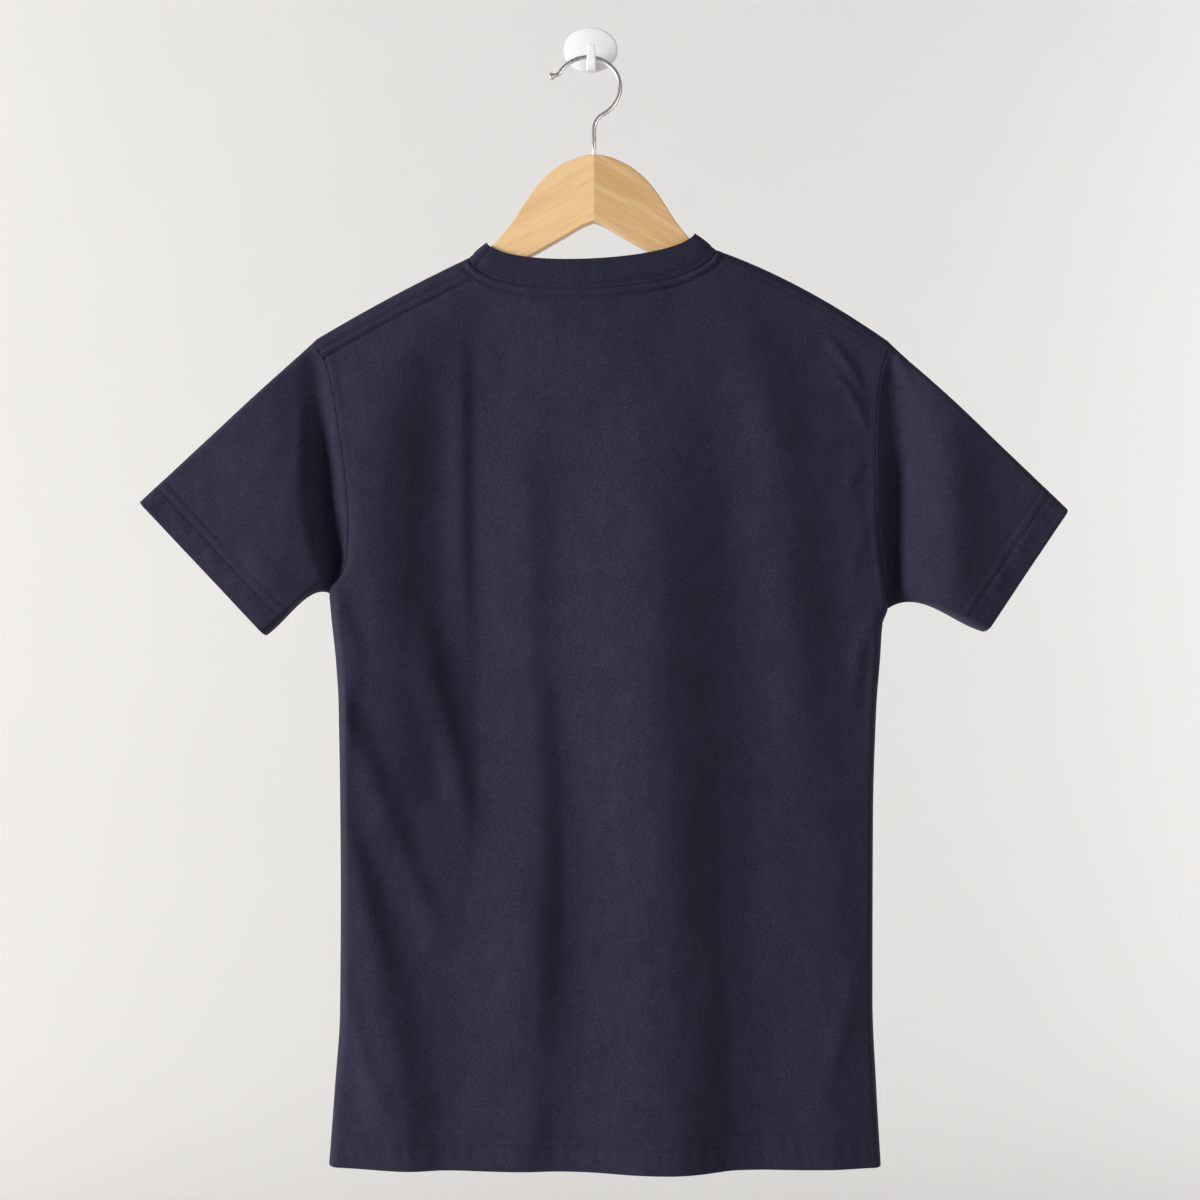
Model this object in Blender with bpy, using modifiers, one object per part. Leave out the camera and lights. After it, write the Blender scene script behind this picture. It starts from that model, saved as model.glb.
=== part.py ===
"""
T-shirt on a clothes hanger, hung on a small wall hook.

The shirt is a short-sleeved crew neck in cotton jersey. It is seen from its back, with its
front towards the wall. Each piece that is cut and sewn is a wall of cloth of its own.

Frame: +Z is up, +X is the viewer's right and +Y points into the wall. The origin is the
centre of the wall plate's back face. The tables are in millimetres, and MM turns them into
Blender's metres.
"""

import math

import bmesh
import bpy

MM = 0.001
OBJECT_NAME = "tshirt_on_hanger"

# ---------------------------------------------------------------- cloth sizes
CLOTH = 1.6              # thickness of the jersey walls
SEAM_GAP = 0.3           # clear gap between two pieces that are sewn together
RIB_WIDTH = 19.0         # width of the neck rib, from its seam to its folded edge
RIB_CLOTH = 2.4          # the rib is folded double
RIB_FOLD = 0.8           # how far its folded edge is rounded
HEM_Z = -869.0           # height of the bottom hem

# Where the shoulder lines start, at the neck, and end, at the sleeve. The bow is how far the
# middle of the line stands above its chord.
SHOULDERS = {
    # side:   neck x, neck z, tip x,  tip z,  bow
    "left": (-94.0, -166.0, -213.0, -228.0, 2.0),
    "right": (97.0, -160.0, 231.0, -229.5, 6.0),
}

# The rib's folded edge starts at these two points, over the arms of the hanger
RIB_CORNERS = {
    # side: x, z
    "left": (-80.0, -154.0),
    "right": (80.0, -147.0),
}

# How deep the seam and the rib's folded edge hang below their corners, and how round they are
NECKLINES = {
    # panel: seam drop, rib edge drop, roundness, steepness
    "back": (29.5, 18.5, 2.0, 2.0),
    "front": (95.0, 92.5, 2.2, 1.35),
}

# The edges of the two body panels: armhole from the shoulder tip to the armpit, then side
# seam down to the hem
ARMPIT_Z = {"left": -426.0, "right": -438.0}
EDGES = {
    # height, x
    "left": (
        (-228.0, -213.0), (-231.5, -213.0), (-250.0, -204.0), (-272.0, -198.5), (-300.0, -193.5),
        (-335.0, -188.0), (-368.0, -185.5), (-395.0, -187.0), (-412.0, -192.0), (-426.0, -203.0),
        (-440.0, -202.0), (-478.0, -198.0), (-517.0, -195.5), (-640.0, -194.0), (-750.0, -195.0),
        (-809.0, -199.0), (-869.0, -203.5),
    ),
    "right": (
        (-229.5, 231.0), (-233.0, 231.0), (-253.0, 225.0), (-282.0, 221.5), (-315.0, 220.0),
        (-350.0, 220.0), (-378.0, 221.5), (-405.0, 225.0), (-424.0, 228.0), (-438.0, 231.0),
        (-450.0, 227.0), (-478.0, 225.0), (-517.0, 222.0), (-600.0, 219.5), (-740.0, 219.0),
        (-809.0, 222.0), (-869.0, 225.5),
    ),
}

# ---------------------------------------------------------------- depths
# y is minus away from the wall
SIDE_SEAM_Y = -13.0      # the side seams hang this far from the wall
SIDE_ROUND = {"left": 9.0, "right": 6.0}     # width across which a panel turns into its side
FOLD_FADE = 0.3          # share of a fold's length over which each end fades
SIDE_PULL = 8            # how quickly the sides' curves fade out across a panel
BODY_MIDDLE_X = 12.0     # the body hangs a little to the right of the hanger
BODY_HALF_WIDTH = 208.0
SHOULDER_ROUND = 10.0    # radius of the cloth over the hanger's arms
BACK_MIDDLE_Y = -34.0    # depth of the back panel below the hanger, at its middle
BACK_SIDE_Y = -27.0      # and just inside its side seams
FRONT_Y = -4.5           # depth of the front panel, near the wall

# Folds of the back panel. Each has a crest that runs down through a few points and stands
# this far towards the viewer, or a bottom that sinks where the height is minus. A fold is
# broader on one side than on the other. It fades out at both ends of its path.
BACK_FOLDS = (
    # name, path of x, z, left width, right width, height
    ("middle ridge", ((44, -250), (48, -440), (60, -640), (78, -830), (90, -1010)), 60, 36, 15),
    ("left trough", ((-100, -170), (-98, -380), (-84, -520), (-66, -660)), 34, 70, -11),
    ("armpit ridge", ((-146, -190), (-154, -320), (-166, -420), (-150, -520), (-118, -620)), 22, 26, 7),
    ("centre-left ridge", ((-60, -300), (-52, -470), (-40, -650), (-52, -800), (-84, -930)), 34, 20, 7),
    ("upper left diagonal", ((-205, -470), (-176, -560), (-140, -640), (-104, -760)), 30, 15, 6),
    ("lower left diagonal", ((-204, -560), (-184, -680), (-156, -790), (-112, -930)), 34, 20, 10),
    ("right ridge", ((128, -200), (144, -320), (162, -440), (172, -560)), 40, 18, 4),
    ("right lower ridge", ((160, -480), (168, -700), (176, -1010)), 46, 30, 4),
)

# Gentler waves of the hidden front panel
FRONT_FOLDS = (
    # name, path of x, z, left width, right width, height
    ("left wave", ((-110, -380), (-100, -620), (-92, -1010)), 46, 46, 4),
    ("middle wave", ((20, -420), (24, -640), (28, -1010)), 50, 50, 3),
    ("right wave", ((128, -380), (124, -620), (118, -1010)), 46, 46, 5),
)

# ---------------------------------------------------------------- sleeves
SLEEVES = {
    # side: cuff top x, z, cuff bottom x, z, cuff's depth and half depth, bulge, underarm hollow
    "left": (-350.0, -355.0, -252.0, -459.0, -14.5, 10.0, 9.0, 8.0),
    "right": (368.0, -361.0, 304.0, -456.0, -20.0, 16.0, 6.0, 10.0),
}
SLEEVE_ROUND = 9.0       # radius of a sleeve's two folded edges
ARMHOLE_LENGTH = 205.0   # from shoulder tip to armpit, along the seam
ARMHOLE_HALF = 9.5       # half of the armhole's width where it is widest

# ---------------------------------------------------------------- hanger
HANGER_X = 2.6           # the hanger's middle
HANGER_Y = -27.0         # depth of the wood at its middle ridge
HANGER_SWEEP = 15.5      # how far the arms' ends lie nearer to the wall
HANGER_REACH = 210.0     # half the hanger's width, less its rounded ends
WOOD_THICKNESS = 12.5
# Upper edge of one arm, from the middle outwards
WOOD_TOP = (
    # distance from the middle, height
    (0.0, -88.8), (7.0, -89.4), (18.5, -92.8), (27.0, -96.8), (37.0, -104.2), (44.6, -112.0),
    (50.4, -119.8), (55.4, -127.4), (60.0, -135.2), (65.6, -142.8), (71.4, -149.8),
    (78.0, -157.2), (86.0, -164.0), (95.0, -169.8), (106.0, -175.6), (200.0, -224.4),
)
# Lower edge of the same arm, with the notch under the dome
WOOD_BOTTOM = (
    (0.0, -140.4), (6.5, -142.6), (13.5, -146.4), (24.0, -152.4), (41.0, -161.8), (106.0, -195.8),
    (200.0, -244.4),
)
WOOD_END = 11.0          # length of the rounded end of an arm
WOOD_SLOPE = 0.52        # the arms' fall beyond the tables' last row
WOOD_ROUND = 4.5         # radius of the wood's long edges
WOOD_CORNER_POINTS = 3
WOOD_STATIONS = (0.0, 4.0, 9.0, 14.0, 20.0, 28.0, 37.0, 45.0, 51.0, 56.0, 62.0, 70.0, 78.0, 87.0,
                 97.0, 110.0, 140.0, 170.0, 200.0, 204.0, 207.5, 209.8, 210.8)

WIRE_RADIUS = 1.9
WIRE_LOOP_RADIUS = 24.9
WIRE_LOOP_CENTRE = (-2.1, -33.4)     # x and z of the loop of the wire hook
WIRE_NECK_RADIUS = 15.5              # the bend between the loop and the straight shank
WIRE_NECK_TURN = 60.0
WIRE_LOOP_TURN = 209.0
WIRE_CURL_RADIUS = 7.0               # the last bend, which turns the tip outwards
WIRE_CURL_TURN = 44.0
WIRE_TOP_Y = -11.0                   # the wire hangs this far from the wall
WIRE_UPRIGHT = 6.0                   # height of its upright foot above the wood
# The ball at the tip of the wire
BALL_PROFILE = (
    # distance past the last bend, radius
    (0.5, 2.3), (1.3, 2.9), (2.6, 3.3), (3.9, 2.9), (4.8, 2.0), (5.3, 0.9),
)

# ---------------------------------------------------------------- wall hook
PLATE_WIDTH = 42.4
PLATE_HEIGHT = 35.3
PLATE_THICKNESS = 2.2
PLATE_DOME = 1.2
PLATE_SEGMENTS = 40
CLEARANCE = 0.3          # between the wire and what it hangs on
J_WIDTH = 6.7
J_X = 0.4
# Side outline of the J, from its root in the plate round its floor, lip and underside
J_OUTLINE = (
    # y, z
    (-1.0, -11.4), (-12.0, -11.4), (-13.2, -10.8), (-13.7, -9.4), (-13.7, -1.2), (-14.3, 0.3),
    (-15.4, 0.9), (-16.5, 0.3), (-17.1, -1.2), (-17.1, -13.0), (-16.0, -16.6), (-13.5, -19.0),
    (-10.0, -20.0), (-5.5, -18.6), (-1.0, -16.6),
)

# ---------------------------------------------------------------- mesh densities
ARMHOLE_ROWS = (0.0, 0.008, 0.03, 0.055, 0.12, 0.22, 0.34, 0.47, 0.60, 0.73, 0.85, 0.94, 1.0)
BODY_ROWS = {"back": 12, "front": 7}
EDGE_COLUMNS = (0.0, 0.6, 2.2, 5.0, 9.0, 18.0, 32.0)       # mm in from a side edge
SHOULDER_COLUMNS = 5                                      # between those and the neck
NECK_COLUMNS = (0.0, 0.5, 1.9, 4.2, 10.0, 19.0, 30.0, 42.0, 55.0, 68.0, 82.0)   # from its corner
SLEEVE_ROWS = (0.0, 0.04, 0.14, 0.30, 0.48, 0.66, 0.84, 1.0)


# ================================================================ small helpers
def lerp(a, b, t):
    return a + (b - a) * t


def smooth(low, high, value):
    """0 below low, 1 above high and a soft step between them."""
    t = min(1.0, max(0.0, (value - low) / (high - low)))
    return t * t * (3.0 - 2.0 * t)


def quarter(t):
    """Quarter circle from 0 at t = 0 to 1 at t = 1, and 1 from there on."""
    t = min(1.0, max(0.0, t))
    return math.sqrt(1.0 - (1.0 - t) ** 2)


def curve(table, t):
    """Smooth curve through a table of (t, value) rows, held at its ends."""
    rows = sorted(table)
    if t <= rows[0][0]:
        return rows[0][1]
    if t >= rows[-1][0]:
        return rows[-1][1]
    steps = [(b[1] - a[1]) / (b[0] - a[0]) for a, b in zip(rows, rows[1:])]
    slopes = [steps[0]]
    for before, after in zip(steps, steps[1:]):
        flat = before * after <= 0.0
        slopes.append(0.0 if flat else 2.0 * before * after / (before + after))
    slopes.append(steps[-1])
    k = max(i for i in range(len(rows) - 1) if rows[i][0] <= t)
    width = rows[k + 1][0] - rows[k][0]
    s = (t - rows[k][0]) / width
    low, high = rows[k][1], rows[k + 1][1]
    return ((1 + 2 * s) * (1 - s) ** 2 * low + s * (1 - s) ** 2 * width * slopes[k]
            + s * s * (3 - 2 * s) * high + s * s * (s - 1) * width * slopes[k + 1])


# ================================================================ the hanger's form
def hanger_y(x):
    """Depth of the hanger's middle line: a ridge at its centre, arms swept to the wall."""
    reach = min(1.0, abs(x - HANGER_X) / HANGER_REACH)
    return HANGER_Y + HANGER_SWEEP * (1.35 * reach - 0.35 * reach * reach)


# ================================================================ outline of the body panels
def ridge_z(x):
    """Height of the ridge over the hanger: shoulder line, then up along the rib's corner."""
    side = "left" if x < HANGER_X else "right"
    neck_x, neck_z, tip_x, tip_z, bow = SHOULDERS[side]
    t = (x - neck_x) / (tip_x - neck_x)
    if t > 0.0:
        return lerp(neck_z, tip_z, t) + bow * 4.0 * t * (1.0 - t)
    rib_x, rib_z = RIB_CORNERS[side]
    return lerp(neck_z, rib_z, (x - neck_x) / (rib_x - neck_x))


def neck_point(panel, across, edge):
    """Point of a neckline, at a share of the way across: its seam or the rib's folded edge."""
    corners = SHOULDERS if edge == "seam" else RIB_CORNERS
    left, right = corners["left"][:2], corners["right"][:2]
    seam_drop, rib_drop, roundness, steepness = NECKLINES[panel]
    drop = seam_drop if edge == "seam" else rib_drop
    centred = min(1.0, abs(2.0 * across - 1.0))
    share = (1.0 - centred ** roundness) ** (1.0 / steepness)
    return lerp(left[0], right[0], across), lerp(left[1], right[1], across) - drop * share


def top_z(panel, x):
    """Upper edge of a panel: shoulder line, neckline, shoulder line."""
    left_x, right_x = SHOULDERS["left"][0], SHOULDERS["right"][0]
    across = (x - left_x) / (right_x - left_x)
    if 0.0 < across < 1.0:
        return neck_point(panel, across, "seam")[1]
    return ridge_z(x)


def columns():
    """Shares of the width at which the panels have points, denser at sides and neck corners."""
    left, right = SHOULDERS["left"][2], SHOULDERS["right"][2]
    width = right - left
    neck_left = SHOULDERS["left"][0] - left
    neck_right = SHOULDERS["right"][0] - left
    inner = EDGE_COLUMNS[-1]
    steps = [k / SHOULDER_COLUMNS for k in range(1, SHOULDER_COLUMNS)]
    places = list(EDGE_COLUMNS)
    places += [lerp(inner, neck_left, s) for s in steps]
    places += [neck_left + c for c in NECK_COLUMNS]
    places += [(neck_left + neck_right) / 2.0]
    places += [neck_right - c for c in reversed(NECK_COLUMNS)]
    places += [lerp(neck_right, width - inner, s) for s in steps]
    places += [width - c for c in reversed(EDGE_COLUMNS)]
    return [p / width for p in places]


def neck_span(shares):
    """First and last column of the neckline."""
    left, right = SHOULDERS["left"][2], SHOULDERS["right"][2]
    ends = [(SHOULDERS[s][0] - left) / (right - left) for s in ("left", "right")]
    nearest = [min(range(len(shares)), key=lambda k: abs(shares[k] - end)) for end in ends]
    return nearest[0], nearest[1]


def rows(panel):
    """Rows from shoulder to hem as (share of the armhole, share of the side seam)."""
    count = BODY_ROWS[panel]
    return [(s, 0.0) for s in ARMHOLE_ROWS] + [(1.0, (k + 1) / count) for k in range(count)]


def edge_point(side, row):
    """Point of a panel's side edge at a row."""
    tip_z = SHOULDERS[side][3]
    armhole, seam = row
    z = lerp(lerp(tip_z, ARMPIT_Z[side], armhole), HEM_Z, seam)
    return curve(EDGES[side], z), z


def row_share(row):
    """How far down the panel a row lies, 0 at the shoulder and 1 at the hem."""
    tip_z = SHOULDERS["left"][3]
    return (tip_z - edge_point("left", row)[1]) / (tip_z - HEM_Z)


def patch_point(panel, share, row):
    """Outline point between a panel's four edges. The sides pull only on what lies near them."""
    v = row_share(row)
    left, right = edge_point("left", row), edge_point("right", row)
    tips = [SHOULDERS[s][2:4] for s in ("left", "right")]
    hems = [edge_point(s, (1.0, 1.0)) for s in ("left", "right")]
    top_x = lerp(tips[0][0], tips[1][0], share)
    top = (top_x, top_z(panel, top_x))
    hem = (lerp(hems[0][0], hems[1][0], share), HEM_Z)
    point = []
    for axis in (0, 1):
        pull_left = left[axis] - lerp(tips[0][axis], hems[0][axis], v)
        pull_right = right[axis] - lerp(tips[1][axis], hems[1][axis], v)
        point.append(lerp(top[axis], hem[axis], v) + pull_left * (1.0 - share) ** SIDE_PULL
                     + pull_right * share ** SIDE_PULL)
    return point


# ================================================================ depth of the body panels
def relief(folds, x, z):
    """How far the folds stand towards the viewer at a point of a panel."""
    height = 0.0
    for _name, path, left_width, right_width, size in folds:
        top, bottom = path[0][1], path[-1][1]
        t = (top - z) / (top - bottom)
        if not 0.0 < t < 1.0:
            continue
        offset = x - curve([(point_z, point_x) for point_x, point_z in path], z)
        offset /= left_width if offset < 0.0 else right_width
        ends = smooth(0.0, FOLD_FADE, t) * smooth(0.0, FOLD_FADE, 1.0 - t)
        height += size * math.exp(-offset * offset) * ends
    return height


def open_share(row):
    """1 where the panels part at the armhole, closing to 0 at the armpit and below."""
    armhole, seam = row
    if seam > 0.0:
        return 0.0
    return math.sqrt(max(0.0, 1.0 - max(0.0, 2.0 * armhole - 1.0) ** 2))


def hung_point(panel, x, z, inset):
    """Depth and height of the cloth where it hangs from the ridge over the hanger.

    The cloth turns over the ridge in a quarter circle. An inset moves the point inwards
    through the wall, along the circle's radius there and straight back below it.
    """
    sign = -1.0 if panel == "back" else 1.0
    below = ridge_z(x) - z
    turned = quarter(below / SHOULDER_ROUND)
    y = hanger_y(x) + sign * (SEAM_GAP / 2.0 + (SHOULDER_ROUND - inset) * turned)
    if below < SHOULDER_ROUND:
        z -= inset * (1.0 - below / SHOULDER_ROUND)
    if panel == "back":
        across = (x - BODY_MIDDLE_X) / BODY_HALF_WIDTH
        low = lerp(BACK_MIDDLE_Y, BACK_SIDE_Y, min(1.0, across * across)) + inset
        y = lerp(y, low, smooth(10.0, 150.0, below))
        y -= relief(BACK_FOLDS, x, z) * smooth(12.0, 60.0, below)
    else:
        y = lerp(y, FRONT_Y - inset, smooth(10.0, 80.0, below))
        y -= relief(FRONT_FOLDS, x, z)
    return y, z


def panel_point(panel, share, row, inset):
    """Point of a panel, on its outer face (inset 0) or its inner face (inset CLOTH)."""
    sign = -1.0 if panel == "back" else 1.0
    x, z = patch_point(panel, share, row)
    left, right = edge_point("left", row)[0], edge_point("right", row)[0]
    opened = open_share(row)
    inner_x = lerp(left + inset, right - inset, (x - left) / (right - left))
    turn = quarter((x - left) / SIDE_ROUND["left"]) * quarter((right - x) / SIDE_ROUND["right"])
    y, z = hung_point(panel, x, z, inset)
    seam_y = SIDE_SEAM_Y + sign * SEAM_GAP / 2.0
    return lerp(inner_x, x, opened), lerp(seam_y, y, lerp(turn, 1.0, opened)), z


# ================================================================ meshes
def new_object(name, mesh, material, collection):
    mesh.materials.append(material)
    item = bpy.data.objects.new(name, mesh)
    collection.objects.link(item)
    return item


def wall_mesh(name, outer, inner, around):
    """A wall of cloth between two grids of points. around closes each row to a ring."""
    bm = bmesh.new()
    faces = [[[bm.verts.new([c * MM for c in p]) for p in row] for row in grid]
             for grid in (outer, inner)]
    row_count, column_count = len(outer), len(outer[0])
    spans = column_count if around else column_count - 1
    for layer, flip in zip(faces, (False, True)):
        for i in range(row_count - 1):
            for k in range(spans):
                n = (k + 1) % column_count
                quad = [layer[i][k], layer[i + 1][k], layer[i + 1][n], layer[i][n]]
                bm.faces.new(reversed(quad) if flip else quad)
    for i, turn in ((0, True), (row_count - 1, False)):
        for k in range(spans):
            n = (k + 1) % column_count
            quad = [faces[0][i][k], faces[1][i][k], faces[1][i][n], faces[0][i][n]]
            bm.faces.new(reversed(quad) if turn else quad)
    if not around:
        for k, turn in ((0, False), (column_count - 1, True)):
            for i in range(row_count - 1):
                quad = [faces[0][i][k], faces[1][i][k], faces[1][i + 1][k], faces[0][i + 1][k]]
                bm.faces.new(reversed(quad) if turn else quad)
    bmesh.ops.recalc_face_normals(bm, faces=bm.faces)
    bmesh.ops.triangulate(bm, faces=bm.faces)
    mesh = bpy.data.meshes.new(name)
    bm.to_mesh(mesh)
    bm.free()
    mesh.shade_smooth()
    mesh.set_sharp_from_angle(angle=math.radians(50))
    return mesh


def build_panel(panel, material, collection):
    """Back or front of the shirt: a grid of points, shoulder to hem and side to side."""
    grids = []
    for inset in (0.0, CLOTH):
        grids.append([[panel_point(panel, share, row, inset) for share in columns()]
                      for row in rows(panel)])
    name = panel + "_panel"
    return new_object(name, wall_mesh(name, grids[0], grids[1], False), material, collection)


def ring_places():
    """Shares of the way from a sleeve's top edge to its underarm, each with +1 at the back
    and -1 at the front: down the back and up the front."""
    down = [(q, 1.0) for q in ARMHOLE_ROWS]
    up = [(q, -1.0) for q in reversed(ARMHOLE_ROWS[1:-1])]
    return down + up


def armhole_point(side, q, facing, inset):
    """Point of the armhole's loop, which an inset shrinks all round."""
    share = 0.0 if side == "left" else 1.0
    back = panel_point("back", share, (q, 0.0), 0.0)
    front = panel_point("front", share, (q, 0.0), 0.0)
    end = inset / ARMHOLE_LENGTH
    x, z = edge_point(side, (lerp(end, 1.0 - end, q), 0.0))
    middle, half = lerp(back[1], front[1], 0.5), (front[1] - back[1]) / 2.0
    return x, middle - facing * half * (1.0 - inset / ARMHOLE_HALF), z


def sleeve_point(side, s, q, facing, inset):
    """Point of a sleeve: s runs from armhole to cuff, q from the top edge to the underarm."""
    top_x, top_height, low_x, low_height, middle_y, half_depth, bulge, hollow = SLEEVES[side]
    start_x, start_y, start_z = armhole_point(side, q, facing, inset)
    cuff_width = math.hypot(top_x - low_x, top_height - low_height)
    end = inset / cuff_width
    place = lerp(end, 1.0 - end, q)
    cuff_x, cuff_z = lerp(top_x, low_x, place), lerp(top_height, low_height, place)
    length = math.hypot(cuff_x - start_x, cuff_z - start_z)
    t = lerp(SEAM_GAP / length, 1.0, s)
    x, z = lerp(start_x, cuff_x, t), lerp(start_z, cuff_z, t)
    z += hollow * 6.75 * s * (1.0 - s) ** 2 * q ** 4
    width = lerp(ARMHOLE_LENGTH, cuff_width, s)
    rounded = quarter(q * width / SLEEVE_ROUND) * quarter((1.0 - q) * width / SLEEVE_ROUND)
    depth = half_depth - inset
    if facing > 0.0:
        depth += bulge * math.sin(math.pi * s) * math.sin(math.pi * q)
    free_y = middle_y - facing * depth * rounded
    return x, lerp(start_y, free_y, smooth(0.0, 0.5, s)), z


def build_sleeve(side, material, collection):
    """A sleeve: rings from the armhole to the open cuff."""
    name = "sleeve_" + side
    grids = [[[sleeve_point(side, s, q, facing, inset) for q, facing in ring_places()]
              for s in SLEEVE_ROWS] for inset in (0.0, CLOTH)]
    return new_object(name, wall_mesh(name, grids[0], grids[1], True), material, collection)


def neck_ring(edge, inset):
    """Ring round the neck, along the back and then the front: the seam or the folded edge."""
    shares = columns()
    first, last = neck_span(shares)
    ring = []
    for panel, order in (("back", range(first, last + 1)), ("front", range(last - 1, first, -1))):
        for k in order:
            across = (shares[k] - shares[first]) / (shares[last] - shares[first])
            x, z = neck_point(panel, across, edge)
            y, z = hung_point(panel, x, z, inset)
            ring.append((x, y, z))
    return ring


def build_neck_rib(material, collection):
    """The neck rib: a folded band that stands on the neckline and passes over the arms."""
    grids = []
    for inset in (0.0, RIB_CLOTH):
        rim = abs(inset - RIB_FOLD)
        seam, edge, fold = (neck_ring(e, i) for e, i in (("seam", inset), ("edge", inset),
                                                         ("edge", rim)))
        levels = []
        for low, high, share in ((seam, edge, SEAM_GAP / RIB_WIDTH), (seam, edge, 0.5),
                                 (seam, edge, 1.0 - RIB_FOLD / RIB_WIDTH), (seam, fold, 1.0)):
            levels.append([[lerp(a, b, share) for a, b in zip(p, q)] for p, q in zip(low, high)])
        grids.append(levels)
    mesh = wall_mesh("neck_rib", grids[0], grids[1], True)
    return new_object("neck_rib", mesh, material, collection)


# ================================================================ hanger
def wood_section(distance):
    """Rounded section of an arm, as points (y, z), at a distance from the hanger's middle."""
    end = HANGER_REACH + 1.0
    keep = quarter((end - distance) / WOOD_END)
    top, bottom = curve(WOOD_TOP, distance), curve(WOOD_BOTTOM, distance)
    beyond = max(0.0, distance - WOOD_TOP[-1][0]) * WOOD_SLOPE
    middle = (top + bottom) / 2.0 - beyond
    half_height = (top - bottom) / 2.0 * keep
    half_depth = WOOD_THICKNESS / 2.0 * lerp(0.45, 1.0, keep)
    radius = min(WOOD_ROUND, half_height, half_depth)
    y = hanger_y(HANGER_X + distance)
    points = []
    for k in range(4 * WOOD_CORNER_POINTS):
        corner, step = divmod(k, WOOD_CORNER_POINTS)
        angle = math.radians(90.0 * (corner + step / (WOOD_CORNER_POINTS - 1)))
        side = 1.0 if corner in (0, 3) else -1.0
        rise = 1.0 if corner in (0, 1) else -1.0
        points.append((y + side * (half_depth - radius) + radius * math.cos(angle),
                       middle + rise * (half_height - radius) + radius * math.sin(angle)))
    return points


def build_hanger_wood(material, collection):
    """The contoured wooden body: one arm lofted from the middle out, and mirrored."""
    bm = bmesh.new()
    rings = []
    for distance in WOOD_STATIONS:
        section = wood_section(distance)
        rings.append([bm.verts.new((distance * MM, y * MM, z * MM)) for y, z in section])
    for near, far in zip(rings, rings[1:]):
        for k in range(len(near)):
            n = (k + 1) % len(near)
            bm.faces.new((near[k], near[n], far[n], far[k]))
    bm.faces.new(rings[-1])
    bmesh.ops.triangulate(bm, faces=bm.faces)
    bmesh.ops.recalc_face_normals(bm, faces=bm.faces)
    mesh = bpy.data.meshes.new("hanger_wood")
    bm.to_mesh(mesh)
    bm.free()
    mesh.shade_smooth()
    mesh.set_sharp_from_angle(angle=math.radians(40))
    item = new_object("hanger_wood", mesh, material, collection)
    item.location.x = HANGER_X * MM
    mirror = item.modifiers.new("other arm", "MIRROR")
    mirror.merge_threshold = 0.0001
    return item


def wire_y(z):
    """The wire leans out from the wall hook and stands upright where it enters the wood."""
    top = WIRE_LOOP_CENTRE[1] + WIRE_LOOP_RADIUS
    upright = WOOD_TOP[0][1] + WIRE_UPRIGHT
    return lerp(WIRE_TOP_Y, HANGER_Y, min(1.0, (top - z) / (top - upright)))


def wire_route():
    """Middle line of the wire from the wood upwards, as points (x, z) and radii."""
    x, z = HANGER_X, WOOD_TOP[0][1] + CLEARANCE
    heading = 90.0
    points = [(x, z)]
    for radius, turn, steps in wire_bends():
        if turn == 0.0:
            points += [(x, z + WIRE_UPRIGHT - CLEARANCE), (x, z + radius)]
            z += radius
            continue
        side = math.copysign(1.0, turn)
        centre_x = x - side * radius * math.sin(math.radians(heading))
        centre_z = z + side * radius * math.cos(math.radians(heading))
        for k in range(1, steps + 1):
            now = math.radians(heading + turn * k / steps)
            x = centre_x + side * radius * math.sin(now)
            z = centre_z - side * radius * math.cos(now)
            points.append((x, z))
        heading += turn
    radii = [WIRE_RADIUS] * len(points)
    turn_x, turn_z = math.cos(math.radians(heading)), math.sin(math.radians(heading))
    for along, radius in BALL_PROFILE:
        points.append((x + along * turn_x, z + along * turn_z))
        radii.append(radius)
    return points, radii


def wire_bends():
    """Rows of (radius, turn in degrees, steps). A row without a turn is a straight length."""
    loop_low = WIRE_LOOP_CENTRE[1] - WIRE_LOOP_RADIUS * math.sin(math.radians(WIRE_NECK_TURN))
    neck_rise = WIRE_NECK_RADIUS * math.sin(math.radians(WIRE_NECK_TURN))
    straight = loop_low - neck_rise - WOOD_TOP[0][1] - CLEARANCE
    return (
        (straight, 0.0, 1),
        (WIRE_NECK_RADIUS, -WIRE_NECK_TURN, 5),
        (WIRE_LOOP_RADIUS, WIRE_LOOP_TURN, 20),
        (WIRE_CURL_RADIUS, -WIRE_CURL_TURN, 4),
    )


def build_hanger_wire(material, collection):
    """The wire hook: a bevelled curve that swells to a ball at its tip."""
    points, radii = wire_route()
    data = bpy.data.curves.new("hanger_wire", "CURVE")
    data.dimensions = "3D"
    data.bevel_depth = WIRE_RADIUS * MM
    data.bevel_resolution = 2
    data.use_fill_caps = True
    spline = data.splines.new("POLY")
    spline.points.add(len(points) - 1)
    for point, (x, z), radius in zip(spline.points, points, radii):
        point.co = (x * MM, wire_y(z) * MM, z * MM, 1.0)
        point.radius = radius / WIRE_RADIUS
    data.materials.append(material)
    item = bpy.data.objects.new("hanger_wire", data)
    collection.objects.link(item)
    return item


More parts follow.
